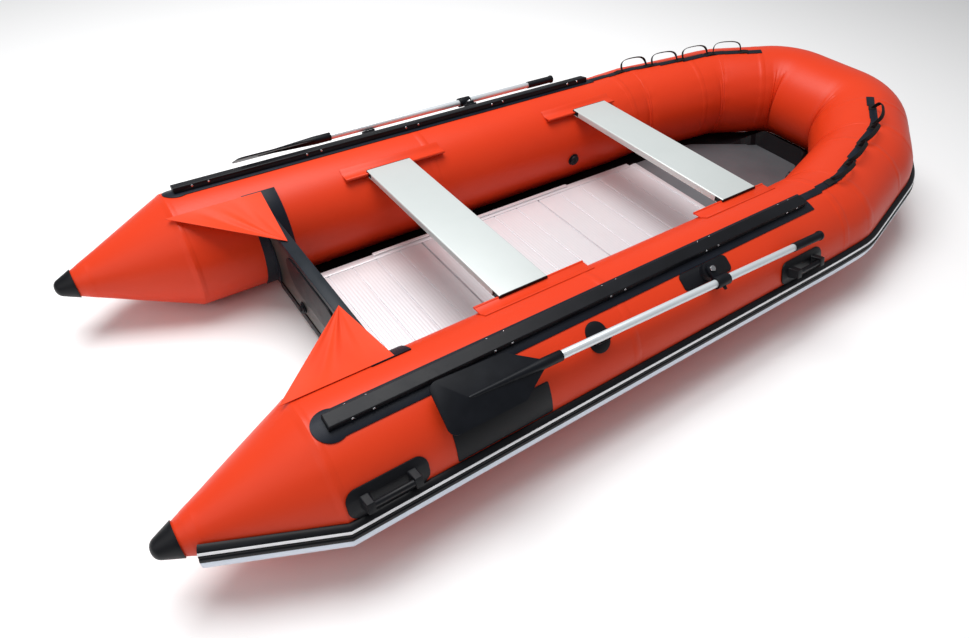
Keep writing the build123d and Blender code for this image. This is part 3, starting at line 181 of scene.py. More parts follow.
class Effect(Enum):
    """Shader groups that several finishes share."""

    WEAVE = "woven_scrim"
    MOTTLE = "soft_mottle"
    SCUFF = "fine_scuffs"
    BRUSHED = "drawn_lines"


Feed = bpy.types.NodeSocket | float


def maths(tree: bpy.types.NodeTree, operation: str, *feeds: Feed) -> bpy.types.NodeSocket:
    """Add a Math node.

    Args:
        tree: the node tree.
        operation: the node's operation.
        feeds: a socket or a number for each input in turn.

    Returns:
        The node's output.
    """
    node = tree.nodes.new("ShaderNodeMath")
    node.operation = operation
    for socket, feed in zip(node.inputs, feeds):
        if isinstance(feed, float):
            socket.default_value = feed
        else:
            tree.links.new(feed, socket)
    return node.outputs[0]


class EffectShop:
    """Builds each shared shader group once."""

    def __init__(self) -> None:
        """Start with no groups built."""
        self.groups: dict[Effect, bpy.types.NodeTree] = {}

    def get(self, effect: Effect) -> bpy.types.NodeTree:
        """Return a group, building it the first time.

        Args:
            effect: which group.

        Returns:
            The shader node group.
        """
        if effect not in self.groups:
            makers = {
                Effect.WEAVE: self.make_weave,
                Effect.MOTTLE: self.make_mottle,
                Effect.SCUFF: self.make_scuff,
                Effect.BRUSHED: self.make_brushed,
            }
            self.groups[effect] = makers[effect]()
        return self.groups[effect]

    def start(self, effect: Effect, inputs: dict[str, float]) -> bpy.types.NodeTree:
        """Open a new group with a Position input, some numbers and one output.

        Args:
            effect: names the group.
            inputs: the number inputs and their starting values.

        Returns:
            The empty group, with its input and output nodes.
        """
        tree = bpy.data.node_groups.new(effect.value, "ShaderNodeTree")
        tree.interface.new_socket("Position", in_out="INPUT", socket_type="NodeSocketVector")
        for name, value in inputs.items():
            socket = tree.interface.new_socket(name, in_out="INPUT", socket_type="NodeSocketFloat")
            socket.default_value = value
        tree.interface.new_socket("Value", in_out="OUTPUT", socket_type="NodeSocketFloat")
        tree.nodes.new("NodeGroupInput").name = "in"
        tree.nodes.new("NodeGroupOutput").name = "out"
        return tree

    def make_weave(self) -> bpy.types.NodeTree:
        """Cloth threads that show faintly through the coating.

        Returns:
            The group, whose output is a height from 0 to 1.
        """
        tree = self.start(Effect.WEAVE, {"Threads": 900.0})
        nodes, links = tree.nodes, tree.links
        split = nodes.new("ShaderNodeSeparateXYZ")
        links.new(nodes["in"].outputs["Position"], split.inputs[0])
        threads = nodes["in"].outputs["Threads"]
        turns = [maths(tree, "MULTIPLY", split.outputs[way], threads) for way in ("X", "Z")]
        waves = [maths(tree, "SINE", turn) for turn in turns]
        ranged = nodes.new("ShaderNodeMapRange")
        ranged.inputs["From Min"].default_value = -1.0
        links.new(maths(tree, "MULTIPLY", *waves), ranged.inputs["Value"])
        links.new(ranged.outputs[0], nodes["out"].inputs[0])
        return tree

    def make_mottle(self) -> bpy.types.NodeTree:
        """Broad, soft patches.

        Returns:
            The group, whose output is a mask from 0 to 1.
        """
        tree = self.start(Effect.MOTTLE, {"Size": 6.0, "Contrast": 0.5})
        nodes, links = tree.nodes, tree.links
        cloud = nodes.new("ShaderNodeTexNoise")
        cloud.inputs["Detail"].default_value = 4.0
        links.new(nodes["in"].outputs["Position"], cloud.inputs["Vector"])
        links.new(nodes["in"].outputs["Size"], cloud.inputs["Scale"])
        ranged = nodes.new("ShaderNodeMapRange")
        for end, slope in (("To Min", -0.5), ("To Max", 0.5)):
            level = maths(tree, "MULTIPLY_ADD", nodes["in"].outputs["Contrast"], slope, 0.5)
            links.new(level, ranged.inputs[end])
        links.new(cloud.outputs["Fac"], ranged.inputs["Value"])
        ranged.inputs["From Min"].default_value = 0.3
        ranged.inputs["From Max"].default_value = 0.7
        links.new(ranged.outputs[0], nodes["out"].inputs[0])
        return tree

    def make_scuff(self) -> bpy.types.NodeTree:
        """Sparse small rub marks.

        Returns:
            The group, whose output is a mask from 0 to 1.
        """
        tree = self.start(Effect.SCUFF, {"Size": 40.0, "Amount": 0.4})
        nodes, links = tree.nodes, tree.links
        cloud = nodes.new("ShaderNodeTexNoise")
        cloud.inputs["Detail"].default_value = 8.0
        cloud.inputs["Roughness"].default_value = 0.7
        links.new(nodes["in"].outputs["Position"], cloud.inputs["Vector"])
        links.new(nodes["in"].outputs["Size"], cloud.inputs["Scale"])
        ranged = nodes.new("ShaderNodeMapRange")
        ranged.inputs["From Min"].default_value = 0.55
        ranged.inputs["From Max"].default_value = 0.75
        links.new(cloud.outputs["Fac"], ranged.inputs["Value"])
        links.new(nodes["in"].outputs["Amount"], ranged.inputs["To Max"])
        links.new(ranged.outputs[0], nodes["out"].inputs[0])
        return tree

    def make_brushed(self) -> bpy.types.NodeTree:
        """Fine straight lines, as drawing through a die leaves, along local Y.

        Returns:
            The group, whose output is a height from 0 to 1.
        """
        tree = self.start(Effect.BRUSHED, {"Lines": 220.0})
        nodes, links = tree.nodes, tree.links
        stretch = nodes.new("ShaderNodeMapping")
        stretch.inputs["Scale"].default_value = (1.0, 0.012, 1.0)
        links.new(nodes["in"].outputs["Position"], stretch.inputs["Vector"])
        cloud = nodes.new("ShaderNodeTexNoise")
        cloud.inputs["Detail"].default_value = 3.0
        links.new(stretch.outputs[0], cloud.inputs["Vector"])
        links.new(nodes["in"].outputs["Lines"], cloud.inputs["Scale"])
        links.new(cloud.outputs["Fac"], nodes["out"].inputs[0])
        return tree


SHOP = EffectShop()


@dataclass(frozen=True)
class Finish:
    """One procedural finish.

    Attributes:
        name: the material's name.
        colour: linear base colour.
        shade: the colour that the mottle mixes in.
        roughness: lowest and highest roughness.
        metallic: 0 or 1, or between for a thin metal coat.
        relief: the effect that gives the bump.
        relief_size: threads or lines per metre.
        relief_height: how deep the bump is, in metres.
        mottle_size: patches per metre.
        contrast: how strongly the mottle shows.
        coat: weight of a clear coat.
        turn: turns the relief's pattern about Z, in degrees.
        specular: how strongly the surface reflects, 0.5 being usual.
    """

    name: str
    colour: tuple[float, float, float]
    shade: tuple[float, float, float]
    roughness: tuple[float, float] = (0.4, 0.5)
    metallic: float = 0.0
    relief: Effect = Effect.SCUFF
    relief_size: float = 60.0
    relief_height: float = 0.0003
    mottle_size: float = 5.0
    contrast: float = 0.8
    coat: float = 0.0
    turn: float = 0.0
    specular: float = 0.5

    def build(self) -> bpy.types.Material:
        """Make the material.

        Returns:
            The new node-based material.
        """
        material = bpy.data.materials.new(self.name)
        material.use_nodes = True
        material.diffuse_color = (*self.colour, 1.0)
        nodes, links = material.node_tree.nodes, material.node_tree.links
        shader = nodes["Principled BSDF"]
        place = nodes.new("ShaderNodeTexCoord")
        spin = nodes.new("ShaderNodeMapping")
        spin.inputs["Rotation"].default_value = (0, 0, math.radians(self.turn))
        links.new(place.outputs["Object"], spin.inputs["Vector"])
        mottle = self.effect(nodes, Effect.MOTTLE)
        mottle.inputs["Size"].default_value = self.mottle_size
        mottle.inputs["Contrast"].default_value = self.contrast
        links.new(place.outputs["Object"], mottle.inputs["Position"])
        scuff = self.effect(nodes, Effect.SCUFF)
        links.new(place.outputs["Object"], scuff.inputs["Position"])
        mix = nodes.new("ShaderNodeMix")
        mix.data_type = "RGBA"
        mix.inputs["A"].default_value = (*self.colour, 1)
        mix.inputs["B"].default_value = (*self.shade, 1)
        links.new(mottle.outputs[0], mix.inputs["Factor"])
        links.new(mix.outputs["Result"], shader.inputs["Base Color"])
        rough = nodes.new("ShaderNodeMapRange")
        rough.inputs["To Min"].default_value = self.roughness[0]
        rough.inputs["To Max"].default_value = self.roughness[1]
        half = maths(material.node_tree, "MULTIPLY", mottle.outputs[0], 0.5)
        total = maths(material.node_tree, "ADD", half, scuff.outputs[0])
        total.node.use_clamp = True
        links.new(total, rough.inputs["Value"])
        links.new(rough.outputs[0], shader.inputs["Roughness"])
        relief = self.effect(nodes, self.relief)
        number = {Effect.WEAVE: "Threads", Effect.BRUSHED: "Lines"}.get(self.relief, "Size")
        relief.inputs[number].default_value = self.relief_size
        links.new(spin.outputs[0], relief.inputs["Position"])
        bump = nodes.new("ShaderNodeBump")
        bump.inputs["Distance"].default_value = self.relief_height
        links.new(relief.outputs[0], bump.inputs["Height"])
        links.new(bump.outputs[0], shader.inputs["Normal"])
        shader.inputs["Metallic"].default_value = self.metallic
        shader.inputs["Specular IOR Level"].default_value = self.specular
        shader.inputs["Coat Weight"].default_value = self.coat
        shader.inputs["Coat Roughness"].default_value = 0.25
        return material

    def effect(self, nodes: bpy.types.Nodes, effect: Effect) -> bpy.types.ShaderNode:
        """Add a shared group to a material.

        Args:
            nodes: the material's nodes.
            effect: which group.

        Returns:
            The group's node.
        """
        node = nodes.new("ShaderNodeGroup")
        node.node_tree = SHOP.get(effect)
        return node


TUBE_CLOTH = Finish(
    "coated_tube_cloth", (0.72, 0.050, 0.0105), (0.66, 0.038, 0.0080), (0.36, 0.48), 0.0,
    Effect.WEAVE, 2600.0, 0.00005, 2.5, 0.5, specular=0.24,
)
FLAP_CLOTH = Finish(
    "splash_flap_cloth", (0.78, 0.060, 0.0140), (0.71, 0.046, 0.0105), (0.42, 0.55), 0.0,
    Effect.WEAVE, 2600.0, 0.00006, 6.0, 0.6, specular=0.24,
)
HULL_CLOTH = Finish(
    "hull_bottom_cloth", (0.0045, 0.0040, 0.0050), (0.009, 0.008, 0.010), (0.45, 0.6), 0.0,
    Effect.WEAVE, 2200.0, 0.00007, 3.0, 0.8, specular=0.22,
)
RUBBER = Finish(
    "black_rubber", (0.0022, 0.0024, 0.0036), (0.0050, 0.0056, 0.0085), (0.40, 0.58), 0.0,
    Effect.SCUFF, 260.0, 0.0002, 9.0, 0.9, specular=0.22,
)
TAPE_RUBBER = Finish(
    "ribbed_tape_rubber", (0.0045, 0.0065, 0.0125), (0.0080, 0.0110, 0.0190), (0.42, 0.55), 0.0,
    Effect.WEAVE, 1500.0, 0.0002, 8.0, 0.8, specular=0.22,
)
WHITE_RUBBER = Finish(
    "white_strip_rubber", (0.95, 0.95, 0.97), (0.88, 0.88, 0.91), (0.3, 0.42), 0.0,
    Effect.SCUFF, 90.0, 0.00015, 12.0, 0.6,
)
# Lower rail strip: white rubber whose pale blue tint is painted shade, standing for its underside facing down
# away from the light.
LOWER_STRIP_PAINTED_SHADE = Finish(
    "lower_strip_painted_shade", (0.80, 0.87, 0.97), (0.72, 0.79, 0.90), (0.32, 0.45), 0.0,
    Effect.SCUFF, 90.0, 0.00015, 12.0, 0.6,
)
WEBBING = Finish(
    "woven_webbing", (0.0050, 0.0040, 0.0045), (0.013, 0.010, 0.011), (0.7, 0.85), 0.0,
    Effect.WEAVE, 3600.0, 0.0004, 60.0, 0.8, specular=0.22,
)
BLACK_PLASTIC = Finish(
    "moulded_black_plastic", (0.0020, 0.0028, 0.0050), (0.0040, 0.0052, 0.0085), (0.40, 0.55), 0.0,
    Effect.SCUFF, 500.0, 0.00012, 20.0, 0.8, specular=0.22,
)
SLATE_PLASTIC = Finish(
    "slate_trim_plastic", (0.0085, 0.0120, 0.0170), (0.0130, 0.0175, 0.0240), (0.35, 0.5), 0.0,
    Effect.SCUFF, 400.0, 0.00012, 12.0, 0.7, specular=0.22,
)
PAINTED_BOARD = Finish(
    "painted_transom_board", (0.060, 0.052, 0.044), (0.040, 0.034, 0.030), (0.35, 0.5), 0.0,
    Effect.BRUSHED, 90.0, 0.0002, 7.0, 0.9, 0.2,
)
FLOOR_METAL = Finish(
    "floor_aluminium", (0.88, 0.87, 0.89), (0.78, 0.76, 0.79), (0.36, 0.50), 0.40,
    Effect.BRUSHED, 90.0, 0.000012, 3.0, 0.7,
)
BENCH_METAL = Finish(
    "anodised_bench", (0.64, 0.68, 0.67), (0.58, 0.62, 0.61), (0.38, 0.5), 0.25,
    Effect.BRUSHED, 200.0, 0.00005, 6.0, 0.5,
)
SHAFT_METAL = Finish(
    "drawn_shaft_aluminium", (0.80, 0.85, 0.88), (0.72, 0.77, 0.80), (0.32, 0.44), 0.45,
    Effect.BRUSHED, 300.0, 0.00004, 9.0, 0.5, 0.0, 90.0,
)
BOW_PANEL = Finish(
    "bow_board_grey", (0.115, 0.120, 0.130), (0.160, 0.165, 0.175), (0.4, 0.55), 0.35,
    Effect.BRUSHED, 160.0, 0.0001, 4.0, 0.7,
)
STEEL = Finish(
    "bright_steel", (0.62, 0.62, 0.63), (0.52, 0.52, 0.54), (0.18, 0.32), 1.0,
    Effect.SCUFF, 300.0, 0.00005, 30.0, 0.6,
)


class Wardrobe:
    """Keeps one material per finish and puts it on pieces."""

    def __init__(self) -> None:
        """Start with no materials made."""
        self.made: dict[str, bpy.types.Material] = {}

    def dress(self, piece: bpy.types.Object, finish: Finish) -> None:
        """Give a piece one finish all over.

        Args:
            piece: the object.
            finish: the finish.
        """
        if finish.name not in self.made:
            self.made[finish.name] = finish.build()
        piece.data.materials.clear()
        piece.data.materials.append(self.made[finish.name])


WARDROBE = Wardrobe()


def settle(piece: bpy.types.Object, finish: Finish, body: str, slot: str, *nodes: str) -> None:
    """Finish a new piece: dress it, ride it on its body and hide the CAD nodes that it replaces.

    Args:
        piece: the object.
        finish: its finish.
        body: the CAD body that it rides on.
        slot: the record's material slot; not used.
        nodes: the CAD nodes that it replaces.
    """
    WARDROBE.dress(piece, finish)
    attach(piece, body)
    if nodes:
        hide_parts(*nodes)
    log.info("%s: %d faces on %s", piece.name, len(piece.data.polygons), body)


def refined(node: str, finish: Finish, body: str, slot: str, bevel: float) -> bpy.types.Object:
    """Copy a CAD node, merge its triangles and round its sharp edges.

    Args:
        node: the CAD node.
        finish: the copy's finish.
        body: the body that it rides on.
        slot: the record's material slot.
        bevel: radius of the rounded edges in metres.

    Returns:
        The new piece, which replaces the node.
    """
    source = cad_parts[node]
    piece = bpy.data.objects.new(node + "_finished", source.data.copy())
    bpy.context.scene.collection.objects.link(piece)
    only(piece)
    edit_mode()
    bpy.ops.mesh.remove_doubles(threshold=2e-5)
    bpy.ops.mesh.tris_convert_to_quads(face_threshold=math.radians(3), shape_threshold=math.radians(60))
    bpy.ops.mesh.dissolve_limited(angle_limit=math.radians(0.6))
    object_mode()
    soften = piece.modifiers.new("soften", "BEVEL")
    soften.width = bevel
    soften.segments = 2
    soften.limit_method = "ANGLE"
    soften.angle_limit = math.radians(40)
    soften.use_clamp_overlap = True
    apply_all(piece)
    smooth(piece, 40)
    settle(piece, finish, body, slot, node)
    return piece


def refine_rows(body: str, rows: tuple[tuple[str, Finish, str, float], ...]) -> None:
    """Refine several CAD nodes of one body.

    Args:
        body: the body that they ride on.
        rows: for each node its name, finish, material slot and edge radius.
    """
    for node, finish, slot, bevel in rows:
        refined(node, finish, body, slot, bevel)


# ---------------------------------------------------------------- hull shape


@dataclass(frozen=True)
class HullLines:
    """Sizes of the hull in metres, as stations forward of the stern cones."""

    radius: float = 0.225
    half: float = 0.614
    cone: float = 0.438
    tip: float = 0.022
    corner_one: float = 2.366
    corner_two: float = 2.857
    front: float = 3.177
    inset: float = 0.128
    front_half: float = 0.238
    radii: tuple[float, float, float] = (0.290, 0.290, 0.235)
    sheer_start: float = 2.100
    sheer_rise: float = 0.105
    sheer_power: float = 1.7
    zero: float = -1.492

    def x(self, station: float) -> float:
        """X of a station."""
        return station + self.zero

    def lift(self, station: float) -> float:
        """How far the tube's centre line has risen at a station."""
        run = max(station - self.sheer_start, 0.0) / (self.front - self.sheer_start)
        return self.sheer_rise * run**self.sheer_power

    def cone_radius(self, station: float) -> float:
        """Radius of a side tube at a station, over its cone and its straight part."""
        if station >= 0:
            return self.radius
        return self.radius + (self.radius - self.tip) * station / self.cone

    def plan(self, fine: float = 3.0) -> list[Vector]:
        """Plan of the port half of the bow.

        Args:
            fine: degrees between points round a corner.

        Returns:
            Points with X as station, from the straight tube's end to the middle of the bow.
        """
        corners = [
            Vector((self.sheer_start, self.half, 0)),
            Vector((self.corner_one, self.half, 0)),
            Vector((self.corner_two, self.half - self.inset, 0)),
            Vector((self.front, self.front_half, 0)),
            Vector((self.front, 0, 0)),
        ]
        points = [corners[0]]
        for k, radius in enumerate(self.radii, start=1):
            into = (corners[k] - corners[k - 1]).normalized()
            out = (corners[k + 1] - corners[k]).normalized()
            turn = into.angle(out)
            start = corners[k] - into * radius * math.tan(turn / 2)
            centre = start + Vector((into.y, -into.x, 0)) * radius
            steps = max(2, math.ceil(math.degrees(turn) / fine))
            for i in range(steps + 1):
                arm = start - centre
                arm.rotate(Matrix.Rotation(-turn * i / steps, 3, "Z"))
                points.append(centre + arm)
        points.append(corners[-1])
        return points

    def bow_route(self, pitch: float = 0.03) -> list[Vector]:
        """Centre line of the bow tube from port round to starboard, in the row frame.

        Args:
            pitch: longest step on a straight run.

        Returns:
            The points.
        """
        plan = self.plan()
        half = [plan[0]]
        for before, after in zip(plan, plan[1:]):
            steps = max(1, math.ceil((after - before).length / pitch))
            half += [before.lerp(after, i / steps) for i in range(1, steps + 1)]
        port = [Vector((self.x(p.x), p.y, self.radius + self.lift(p.x))) for p in half]
        return port + [Vector((p.x, -p.y, p.z)) for p in reversed(port[:-1])]


LINES = HullLines()


def on_tube(side: Side, station: float, angle: float, height: float) -> Vector:
    """Point over a side tube.

    Args:
        side: which tube.
        station: distance forward of the cones.
        angle: tube angle in degrees, 0 outboard and 90 up.
        height: distance from the tube's centre line.

    Returns:
        The point in the row frame.
    """
    turn = math.radians(angle)
    y = side.value * (LINES.half + height * math.cos(turn))
    return Vector((LINES.x(station), y, LINES.radius + height * math.sin(turn)))


@dataclass
class AirTubes:
    """The inflated tubes: coated cloth with welded seams, cones and a creased bow."""

    around: int = 96
    seam_width: float = 0.026
    seam_rise: float = 0.0006
    pucker_depth: float = 0.0012
    pucker_reach: float = 0.055
    hollow_depth: float = 0.0010
    crease_depth: float = 0.006
    pucker_from: float = -0.30
    side_seams: tuple[float, ...] = (-0.340, 0.0, 1.05)
    bow_seams: tuple[float, ...] = (0.13, 0.275, 0.62, 0.80, 1.02)

    def stations(self, start: float, end: float, pitch: float, seams: tuple[float, ...]) -> list[float]:
        """Ring places, with close pairs at the edges of each seam.

        Args:
            start: first ring.
            end: last ring.
            pitch: usual gap between rings.
            seams: middles of the seams.

        Returns:
            Sorted ring places.
        """
        count = math.ceil((end - start) / pitch)
        places = [start + (end - start) * i / count for i in range(count + 1)]
        for seam in seams:
            for edge in (-self.seam_width / 2, self.seam_width / 2):
                for nudge in (-0.0008, 0.0008):
                    places.append(min(max(seam + edge + nudge, start), end))
        return sorted(set(round(p, 5) for p in places))

    def seam_step(self, place: float, seams: tuple[float, ...]) -> float:
        """Extra radius where a welded strip lies."""
        on = any(abs(place - seam) <= self.seam_width / 2 for seam in seams)
        return self.seam_rise if on else 0.0

    def pucker(self, place: float, seams: tuple[float, ...], angle: float, centre: Vector) -> float:
        """Small inward ripples beside seams and soft hollows over the whole skin.

        Args:
            place: distance along the tube.
            seams: middles of the seams.
            angle: angle round the tube in radians.
            centre: where the ring is, for the noise.

        Returns:
            Change of radius in metres, never above zero.
        """
        total = 0.0
        for seam in seams:
            near = math.exp(-(((place - seam) / self.pucker_reach) ** 2))
            total += self.pucker_depth * near * (0.5 + 0.5 * math.sin(19 * angle + 40 * seam))
        spot = centre + Vector((0, math.cos(angle), math.sin(angle))) * 0.2
        total += self.hollow_depth * (0.5 + 0.5 * noise.noise(spot * 5.0))
        return -total

    def side_tube(self, side: Side) -> bpy.types.Object:
        """Straight tube with its cone.

        Args:
            side: which side.

        Returns:
            The skin.
        """
        rings = self.stations(-LINES.cone, LINES.sheer_start, 0.022, self.side_seams)

        def place(column: int, row: int) -> Vector:
            if column == 0 or column == len(rings) + 1:
                station = rings[0] if column == 0 else rings[-1]
                return Vector((LINES.x(station), side.value * LINES.half, LINES.radius))
            station = rings[column - 1]
            angle = 2 * math.pi * (row % self.around) / self.around
            centre = Vector((LINES.x(station), side.value * LINES.half, LINES.radius))
            radius = LINES.cone_radius(station) + self.seam_step(station, self.side_seams)
            if station > self.pucker_from:
                radius += self.pucker(station, self.side_seams, angle, centre)
            return centre + Vector((0, math.cos(angle) * side.value, math.sin(angle))) * radius

        piece = draped_grid(f"air_tube_{side.name.lower()}", len(rings) + 1, self.around, place)
        smooth(piece, 22)
        return piece

    def bow_tube(self) -> bpy.types.Object:
        """Bent tube round the bow, with creases inside its corners.

        Returns:
            The skin.
        """
        route = LINES.bow_route()
        lengths = [0.0]
        for before, after in zip(route, route[1:]):
            lengths.append(lengths[-1] + (after - before).length)
        whole = lengths[-1]
        seams = self.bow_seams + tuple(whole - s for s in self.bow_seams)
        rings = self.stations(0.0, whole, 0.02, seams)

        def spot(length: float) -> tuple[Vector, Vector, float]:
            k = max(i for i in range(len(lengths) - 1) if lengths[i] <= length + 1e-9)
            share = (length - lengths[k]) / (lengths[k + 1] - lengths[k])
            before = (route[k] - route[k - 1]).normalized() if k else (route[1] - route[0]).normalized()
            here = (route[k + 1] - route[k]).normalized()
            after = (route[k + 2] - route[k + 1]).normalized() if k + 2 < len(route) else here
            first = (before + here).normalized()
            last = (here + after).normalized()
            along = first.lerp(last, share).normalized()
            return route[k].lerp(route[k + 1], share), along, before.angle(after)

        def place(column: int, row: int) -> Vector:
            if column == 0 or column == len(rings) + 1:
                return spot(rings[0] if column == 0 else rings[-1])[0]
            length = rings[column - 1]
            centre, along, bend = spot(length)
            if column in (1, len(rings)):
                along = Vector((1 if column == 1 else -1, 0, 0))
            out = Vector((0, 0, 1)).cross(along).normalized()
            up = along.cross(out).normalized()
            angle = 2 * math.pi * (row % self.around) / self.around
            inner = max(0.0, -math.cos(angle)) ** 3
            crease = self.crease_depth * inner * min(1.0, bend / 0.08) * (0.5 + 0.5 * math.sin(length * 190))
            radius = LINES.radius + self.seam_step(length, seams) - crease
            radius += self.pucker(length, seams, angle, centre)
            return centre + (out * math.cos(angle) + up * math.sin(angle)) * radius

        piece = draped_grid("air_tube_bow", len(rings) + 1, self.around, place)
        smooth(piece, 22)
        return piece

    def build(self) -> None:
        """Make and dress the three tubes."""
        for side in Side:
            node = f"air_chamber_{side.name.lower()}"
            settle(self.side_tube(side), TUBE_CLOTH, "hull", "tube_fabric", node)
        settle(self.bow_tube(), TUBE_CLOTH, "hull", "tube_fabric", "air_chamber_bow")


@dataclass
class RubRail:
    """Rubber rail round the outside, with a white strip and a white lower strip whose pale blue tint is
    painted shade.
    """

    tip_margin: float = 0.105

    def path(self) -> list[tuple[Vector, Vector, Vector]]:
        """Places along the rail at the tube's widest line.

        Returns:
            For each place: the point, the outward way (stretched at a mitre) and the up way.
        """
        up = Vector((0, 0, 1))
        generator = Vector((LINES.cone, LINES.radius - LINES.tip, 0)).normalized()
        knuckle = Vector((LINES.x(0), LINES.half + LINES.radius, LINES.radius))
        full = math.hypot(LINES.cone, LINES.radius - LINES.tip)
        tip = knuckle - generator * (full - self.tip_margin)
        slope = Vector((-generator.y, generator.x, 0))
        square = Vector((0, 1, 0))
        mitre = (slope + square).normalized()
        mitre = mitre / mitre.dot(square)
        port = [(tip.lerp(knuckle, i / 14), slope, up) for i in range(14)]
        port.append((knuckle, mitre, up))
        for i in range(1, 36):
            port.append((knuckle + Vector((LINES.sheer_start * i / 36, 0, 0)), square, up))
        route = LINES.bow_route(0.05)
        for k in range((len(route) + 1) // 2):
            before = (route[k] - route[k - 1]).normalized() if k else Vector((1, 0, 0))
            after = (route[k + 1] - route[k]).normalized()
            along = (before + after).normalized()
            out = up.cross(along).normalized()
            rise = along.cross(out).normalized()
            out = out / max(math.cos(before.angle(after) / 2), 0.9)
            port.append((route[k] + out.normalized() * LINES.radius, out, rise))
        mirror = [self.flipped(p) for p in reversed(port[:-1])]
        return port + mirror

    def flipped(self, place: tuple[Vector, Vector, Vector]) -> tuple[Vector, Vector, Vector]:
        """The same place on the starboard side."""
        point, out, up = place
        return tuple(Vector((v.x, -v.y, v.z)) for v in (point, out, up))

    def swept(self, name: str, outline: list[tuple[float, float]]) -> bpy.types.Object:
        """Sweep a closed outline along the rail.

        Args:
            name: the piece's name.
            outline: (tube angle in degrees, height off the tube) round the section.

        Returns:
            The strip.
        """
        places = self.path()
        count = len(outline)

        def place(column: int, row: int) -> Vector:
            point, out, up = places[column]
            angle, height = outline[row % count]
            turn = math.radians(angle)
            reach = (LINES.radius + height) * math.cos(turn) - LINES.radius
            return point + out * reach + up * (LINES.radius + height) * math.sin(turn)

        piece = draped_grid(name, len(places) - 1, count, place)
        close_holes(piece)
        smooth(piece, 32)
        return piece

    def build(self) -> None:
        """Make the rail and its two strips."""
        back = [(8.0 - 23.0 * i / 10, 0.0005) for i in range(11)]
        face = [
            (-14.7, 0.010), (-13.9, 0.0185), (-12.5, 0.0225), (-12.4, 0.0205), (-7.5, 0.0245), (-3.2, 0.0235),
            (-3.1, 0.0262), (-1.8, 0.0268), (-0.4, 0.0255), (0.3, 0.0222), (1.2, 0.0222), (2.0, 0.0228),
            (2.6, 0.0208), (2.7, 0.0182), (4.9, 0.0165), (5.0, 0.0188), (5.6, 0.0178), (6.4, 0.0150),
            (7.3, 0.0090), (7.9, 0.0040),
        ]
        base = self.swept("rub_rail_body", back + face)
        settle(base, RUBBER, "hull", "black_rubber", "rub_rail_base")
        white = [(2.75, 0.0185), (4.85, 0.0170), (4.8, 0.0196), (3.9, 0.0212), (3.0, 0.0218), (2.8, 0.0208)]
        bead = self.swept("rub_rail_white_bead", white)
        settle(bead, WHITE_RUBBER, "hull", "white_rubber", "rub_rail_white_strip")
        # Lower strip of white rubber, coloured pale blue as painted shade on its downward-facing side.
        pale = [
            (-12.35, 0.0208), (-7.5, 0.0248), (-3.3, 0.0238), (-3.35, 0.0262), (-5.5, 0.0276), (-8.0, 0.0280),
            (-10.5, 0.0262), (-12.2, 0.0238),
        ]
        band = self.swept("rub_rail_pale_band", pale)
        settle(band, LOWER_STRIP_PAINTED_SHADE, "hull", "grey_rubber", "rub_rail_lower_strip")


@dataclass
class HullBottom:
    """Dark cloth between the tubes, and the keel tube that rounds it."""

    edge: float = 0.552
    keel_half: float = 0.130

    def sheet(self) -> bpy.types.Object:
        """Bottom cloth, lofted from stern to bow.

        Returns:
            The sheet, with its thickness.
        """
        low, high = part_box("hull_bottom")
        length = high.x - low.x
        corner = LINES.x(LINES.corner_one)

        def place(column: int, row: int) -> Vector:
            x = low.x + length * column / 110
            station = x - LINES.zero
            share = row / 24 * 2 - 1
            lift = LINES.lift(station)
            edge = self.edge
            if x > corner:
                edge = self.edge_at(station)
            z = 0.0035 + lift * (0.8 + 0.14 * abs(share)) + 0.0032 * abs(share)
            z += 0.0012 * (0.5 + 0.5 * noise.noise(Vector((x * 3, share * 4, 0))))
            y = edge * share
            rim = max(max(abs(share) - 0.75, 0.0) / 0.25, max(column - 98, 0) / 12)
            return Vector((x, y, z + (self.under_tube(x, y, z) - z) * rim))

        piece = draped_grid("hull_bottom_cloth", 110, 24, place)
        thicken(piece, 0.0016)
        smooth(piece, 30)
        return piece

    def under_tube(self, x: float, y: float, otherwise: float) -> float:
        """Height of the tubes' underside over a point of the plan.

        Args:
            x: the point's X.
            y: the point's Y.
            otherwise: the height to give where no tube is overhead.

        Returns:
            The height, a hair below the skin.
        """
        if x < LINES.x(LINES.sheer_start):
            distance, centre = abs(abs(y) - LINES.half), LINES.radius
        else:
            nearest = min(LINES.bow_route(), key=lambda p: math.hypot(p.x - x, p.y - y))
            distance, centre = math.hypot(nearest.x - x, nearest.y - y), nearest.z
        if distance >= LINES.radius:
            return otherwise
        return centre - math.sqrt(LINES.radius**2 - distance**2) - 0.0012

    def edge_at(self, station: float) -> float:
        """Half width of the bottom where the bow narrows it."""
        marks = [(2.366, 0.543), (2.857, 0.381), (3.017, 0.226), (3.087, 0.166)]
        for (first, wide), (last, narrow) in zip(marks, marks[1:]):
            if station <= last:
                return wide + (narrow - wide) * (station - first) / (last - first)
        return marks[-1][1]

    def keel(self) -> bpy.types.Object:
        """Keel tube with gathered ends.

        Returns:
            The tube's skin.
        """
        low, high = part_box("keel_tube")
        middle = (low.z + high.z) / 2

        def place(column: int, row: int) -> Vector:
            share = column / 60
            end = min(1.0, min(share, 1 - share) * 60 / 5)
            swell = math.sin(math.pi / 2 * end) if end < 1 else 1.0
            angle = 2 * math.pi * (row % 40) / 40
            y = math.cos(angle) * self.keel_half * max(swell, 0.02)
            z = math.sin(angle) * (high.z - low.z) / 2 * max(swell, 0.02)
            return Vector((low.x + (high.x - low.x) * share, y, middle + z))

        piece = draped_grid("keel_tube_skin", 60, 40, place)
        close_holes(piece)
        smooth(piece, 30)
        return piece

    def build(self) -> None:
        """Make the bottom and its keel."""
        bottom = self.sheet()
        settle(bottom, HULL_CLOTH, "hull", "hull_fabric", "hull_bottom")
        settle(self.keel(), HULL_CLOTH, "hull", "hull_fabric", "keel_tube")


